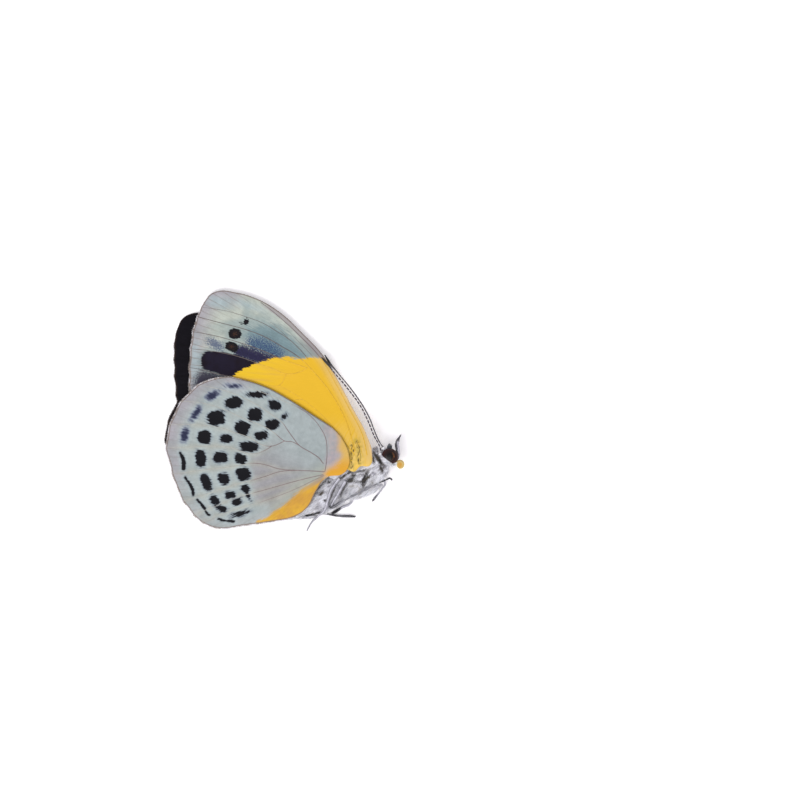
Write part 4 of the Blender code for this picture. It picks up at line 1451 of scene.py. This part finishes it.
def buildCrest():
    # a small dark tuft on top of the head, between the antennae and the palps
    (x, y, z), (right, up), count = crest["start"], crest["step"], len(crest["grown"])
    spine = np.array([(x + right * step, y + up * step, z, 0.05) for step in range(count)])
    ways = np.column_stack((np.linspace(*crest["lean"], count), np.ones(count), np.zeros(count)))
    paint = Paint("crest scales", Roughness=0.8)
    paint.ground = paint.mix(paint.noise(paint.place(), 4.0, 2), shade(40, 42, 48), shade(116, 120, 128))
    host = pathHost("crestPath", [spine], out=ways, grown=crest["grown"])
    tuft = barbs.grow(
        "head_crest", host, paint.finish(),
        Spacing=0.011 * mm, Length=0.92 * mm, Width=0.05 * mm, Spread=0.12, Seed=5,
    )
    attach(tuft, "head", replace=False)


buildPalps()
buildProboscis()
buildCrest()
print("stage 4: palps, proboscis and crest are made")


# Antennae: a ringed stalk that swells to a club

antennae = {
    "right": (
        (13.3, -6.1, 2.95, 0.24), (13.42, -5.6, 2.88, 0.11), (13.34, -5.1, 2.8, 0.09),
        (13.1, -4.5, 2.68, 0.09), (12.66, -3.75, 2.6, 0.095), (11.59, -1.22, 2.5, 0.1),
        (10.58, 0.75, 2.4, 0.1), (9.4, 2.39, 2.32, 0.1), (8.1, 4.03, 2.26, 0.095),
        (6.75, 5.6, 2.18, 0.095), (6.35, 6.15, 2.14, 0.12), (5.9, 6.7, 2.1, 0.17),
        (5.5, 7.15, 2.05, 0.16), (5.2, 7.5, 2.0, 0.06),
    ),
    "left": (
        (13.9, -5.35, 2.5, 0.14), (13.78, -5.1, 2.6, 0.24), (13.62, -4.84, 2.42, 0.1),
        (13.2, -4.2, 2.2, 0.09), (12.65, -3.0, 1.95, 0.085), (11.7, -0.65, 1.83, 0.098),
        (9.9, 2.25, 1.7, 0.098), (7.5, 5.25, 1.57, 0.09), (6.95, 5.9, 1.54, 0.12), (6.5, 6.4, 1.5, 0.17),
        (6.05, 7.1, 1.45, 0.16), (5.6, 7.85, 1.4, 0.06),
    ),
    "ringLength": 0.6,
    "whiteTo": 14.0,
}


def antennaFinish(name, whiteness, stalk):
    paint = Paint(name, Roughness=0.5)
    whiteTo = antennae["whiteTo"]
    turns = paint.maths("FRACT", paint.maths("DIVIDE", "along", antennae["ringLength"]))
    white = paint.ramp("along", whiteTo - 0.6, whiteTo, whiteness, 0.0)
    white = paint.times(paint.ramp(turns, 0.77, 0.83), white)
    white = paint.maths("MAXIMUM", white, paint.ramp("along", 0.28, 0.42, 1.0, 0.0))
    paint.bump(paint.noise(paint.place(), 9.0, 2), 0.01, 0.5)
    paint.ground = paint.mix(paint.ramp("along", whiteTo - 0.2, whiteTo + 0.8), stalk, shade(16, 14, 18))
    paint.coat(shade(236, 235, 240), white)
    return paint.finish()


def buildAntennae():
    for side, whiteness, stalk in (("right", 0.8, shade(54, 47, 60)), ("left", 0.14, shade(78, 76, 84))):
        path = smoothPath(antennae[side], 0.05)
        run = np.arange(len(path)) * 0.05
        path[:, 3] *= 1 - 0.09 * np.abs(np.cos(np.pi * run / antennae["ringLength"])) ** 6
        name = side + "_antenna"
        ink = antennaFinish(side + " antenna", whiteness, stalk)
        piece = tubes.grow(name, pathHost(name + "Path", [path]), ink, Sides=10)
        attach(piece, name)


buildAntennae()


# Legs

def flankHeight(x, y, radius, side):
    # where a leg of this radius lies against the thorax, whose half sizes are a little under these
    long, wide, deep = 4.0, 3.1, 1.6
    ahead, up = planeAxes(body["turn"])
    (centreX, centreY), _ = body["thorax"]
    away = np.array((x - centreX, y - centreY, 0))
    inside = 1 - (away @ ahead / long) ** 2 - (away @ up / wide) ** 2
    return body["height"] + side * (deep * math.sqrt(max(inside, 0)) + 0.1 + radius)


legs = {
    # side, root on the flank as x, y, radius, the route as x, y, z, radius, how dark it is after so many
    # millimetres, and where its foot starts
    "right_midleg": (1, (8.5, -9.7, 0.2), (
        (7.35, -11.7, 3.6, 0.17), (6.6, -13.0, 2.85, 0.13), (6.45, -13.35, 2.7, 0.12),
        (6.8, -13.3, 2.7, 0.13), (7.9, -12.62, 3.0, 0.085), (9.75, -11.68, 3.7, 0.06),
        (12.2, -10.42, 3.5, 0.05), (13.7, -9.73, 3.1, 0.06), (14.2, -9.5, 3.0, 0.08),
        (14.55, -9.33, 2.9, 0.1), (14.85, -9.4, 2.8, 0.1), (14.95, -9.55, 2.75, 0.05),
    ), ((0, 0.2), (3.9, 0.3), (4.3, 0.9), (4.9, 0.6), (6.0, 0.42), (11.5, 0.36), (12.8, 1.0)), 12.0),
    "right_hindleg": (1, (7.7, -9.3, 0.2), (
        (6.6, -10.8, 3.75, 0.18), (6.1, -12.3, 3.5, 0.16), (5.6, -13.75, 2.6, 0.14),
        (4.65, -14.65, 1.7, 0.12), (3.75, -15.55, 0.9, 0.075), (3.3, -16.3, 0.4, 0.065),
        (3.08, -16.75, 0.2, 0.04),
    ), ((0, 0.2), (6.2, 0.2), (7.8, 0.4), (10, 0.5)), 6.4),
    "right_foreleg": (1, (12.1, -8.7, 0.12), (
        (13.3, -8.75, 3.1, 0.1), (14.05, -8.8, 2.8, 0.09), (14.0, -9.0, 2.7, 0.08),
        (13.3, -9.25, 2.6, 0.04),
    ), ((0, 0.2), (3.5, 0.3)), 9.0),
    "left_midleg": (-1, (9.9, -10.4, 0.17), (
        (9.4, -12.3, 0.5, 0.15), (9.1, -12.95, 0.4, 0.12), (8.0, -13.45, 0.32, 0.14),
        (6.8, -14.2, 0.3, 0.15), (6.6, -14.3, 0.28, 0.07),
    ), ((0, 0.1), (3.9, 0.1), (4.4, 1.0), (6.0, 1.0)), 9.0),
    "left_hindleg": (-1, (8.6, -9.9, 0.12), (
        (6.0, -11.9, 0.42, 0.12), (3.3, -14.1, 0.46, 0.1), (2.95, -14.52, 0.46, 0.1),
        (3.5, -14.48, 0.46, 0.13), (4.8, -14.17, 0.4, 0.15), (5.6, -14.35, 0.3, 0.09),
        (7.3, -14.65, 0.25, 0.1), (9.5, -14.75, 0.25, 0.1), (9.8, -14.78, 0.2, 0.05),
    ), ((0, 0.2), (6.6, 0.9), (9.2, 1.0), (9.8, 0.4), (10.6, 0.75), (14, 0.8)), 9.6),
    "left_foreleg": (-1, (12.3, -8.8, 0.12), (
        (13.8, -9.7, 1.1, 0.12), (14.0, -10.15, 0.9, 0.11), (13.6, -10.85, 0.65, 0.075),
        (12.4, -12.4, 0.22, 0.075), (12.25, -12.6, 0.16, 0.03),
    ), ((0, 0.1), (3.8, 0.1), (4.8, 0.8), (5.5, 0.95)), 4.0),
}
footRing = 0.38


def legFinish():
    paint = Paint("banded legs", Roughness=0.6)
    fine = paint.noise(paint.place(), 7.0, 3)
    patch = paint.noise(paint.vector(paint.times("along", 1.6)), detail=3)
    level = paint.plus("dark", paint.times(paint.centred(patch), 0.9))
    level = paint.plus(level, paint.centred(fine))
    paint.bump(fine, 0.02, 0.6)
    paint.ground = paint.mix(paint.ramp(level, 0.0, 0.95), shade(204, 203, 213), shade(24, 22, 28))
    return paint.finish()


def buildLegs():
    ink = legFinish()
    strandTones = (0, 0.45, -0.1, 0.1, 0.4, 0, 0.25)  # rows of bristles round a leg, lighter and darker
    for number, (name, (side, root, route, darkness, foot)) in enumerate(legs.items()):
        x, y, radius = root
        path = smoothPath([(x, y, flankHeight(x, y, radius, side), radius), *route], 0.05)
        run = np.arange(len(path)) * 0.05
        joints = np.abs(np.cos(np.pi * run / footRing)) ** 6
        path[:, 3] *= [1 + 0.16 * perlin.noise(Vector((step * 1.7, number * 3.1, 0))) for step in run]
        path[:, 3] *= np.where(run > foot, 1.1 - 0.45 * joints, 1)
        dark = np.interp(run, *zip(*darkness)) * np.where(run > foot, 1.1 - 0.75 * joints, 1)
        piece = tubes.grow(name, pathHost(name + "Path", [path], dark=dark), ink, Sides=10)
        attach(piece, name)
        tangent = np.gradient(path[:, :3], axis=0)
        tangent /= np.linalg.norm(tangent, axis=1)[:, None]
        flank = np.cross(tangent, (0, 0, 1))
        strands, ways = [], []
        for angle in np.linspace(0, math.tau, len(strandTones), endpoint=False):
            way = math.cos(angle) * flank + math.sin(angle) * np.cross(flank, tangent)
            strand = path.copy()
            strand[:, :3] += way * path[:, 3:] * 0.8
            strands.append(strand)
            ways.append(way * 0.45 + tangent)
        dark = np.concatenate([np.clip(dark + more, 0, 1) for more in strandTones])
        grown = np.tile(np.clip(path[:, 3] / 0.13, 0.3, 1), len(strandTones))
        host = pathHost(name + "Bristles", strands, out=np.vstack(ways), grown=grown, dark=dark)
        bristles = barbs.grow(
            name + "_bristles", host, ink,
            Spacing=0.06 * mm, Length=0.4 * mm, Width=0.014 * mm, Spread=0.16, Seed=31 + number,
        )
        settle(bristles)
        attach(bristles, name, replace=False)


buildLegs()
print("stage 5: antennae and legs are made")


# Floor, light and camera

def buildFloor():
    half = studio["floorSize"] / 2
    corners = [(-half, -half, 0), (half, -half, 0), (half, half, 0), (-half, half, 0)]
    paint = Paint(
        "white floor", Roughness=0.9, Specular_IOR_Level=0.0, Base_Color=studio["floorTint"],
        Emission_Color=studio["glowTint"], Emission_Strength=studio["floorGlow"],
    )
    floor = addObject("floor", meshFrom("floor", corners, [(0, 1, 2, 3)], smooth=False), paint.material)
    floor.location.z = -0.005 * mm


def buildLight():
    world = bpy.data.worlds.new("studio")
    world.use_nodes = True
    scene.world = world
    sky = world.node_tree.nodes["Background"]
    sky.inputs["Color"].default_value = studio["worldTint"]
    sky.inputs["Strength"].default_value = studio["worldLight"]
    key = bpy.data.lights.new("key", "AREA")
    key.shape = "DISK"
    key.size = studio["keySize"] * mm
    key.energy = studio["keyPower"]
    lamp = addObject("key", key)
    lamp.location = Vector(studio["keyPlace"]) * mm
    lamp.rotation_euler = (-lamp.location).to_track_quat("-Z", "Y").to_euler()


def buildCamera():
    camera = bpy.data.cameras.new("camera")
    camera.lens = studio["lens"]
    camera.sensor_width = 36
    camera.clip_start = 0.01
    holder = addObject("camera", camera)
    holder.location = Vector((*studio["aim"], studio["distance"])) * mm
    scene.camera = holder


buildFloor()
buildLight()
buildCamera()
scene.view_settings.view_transform = "Standard"
print("stage 6: floor, light and camera are set")
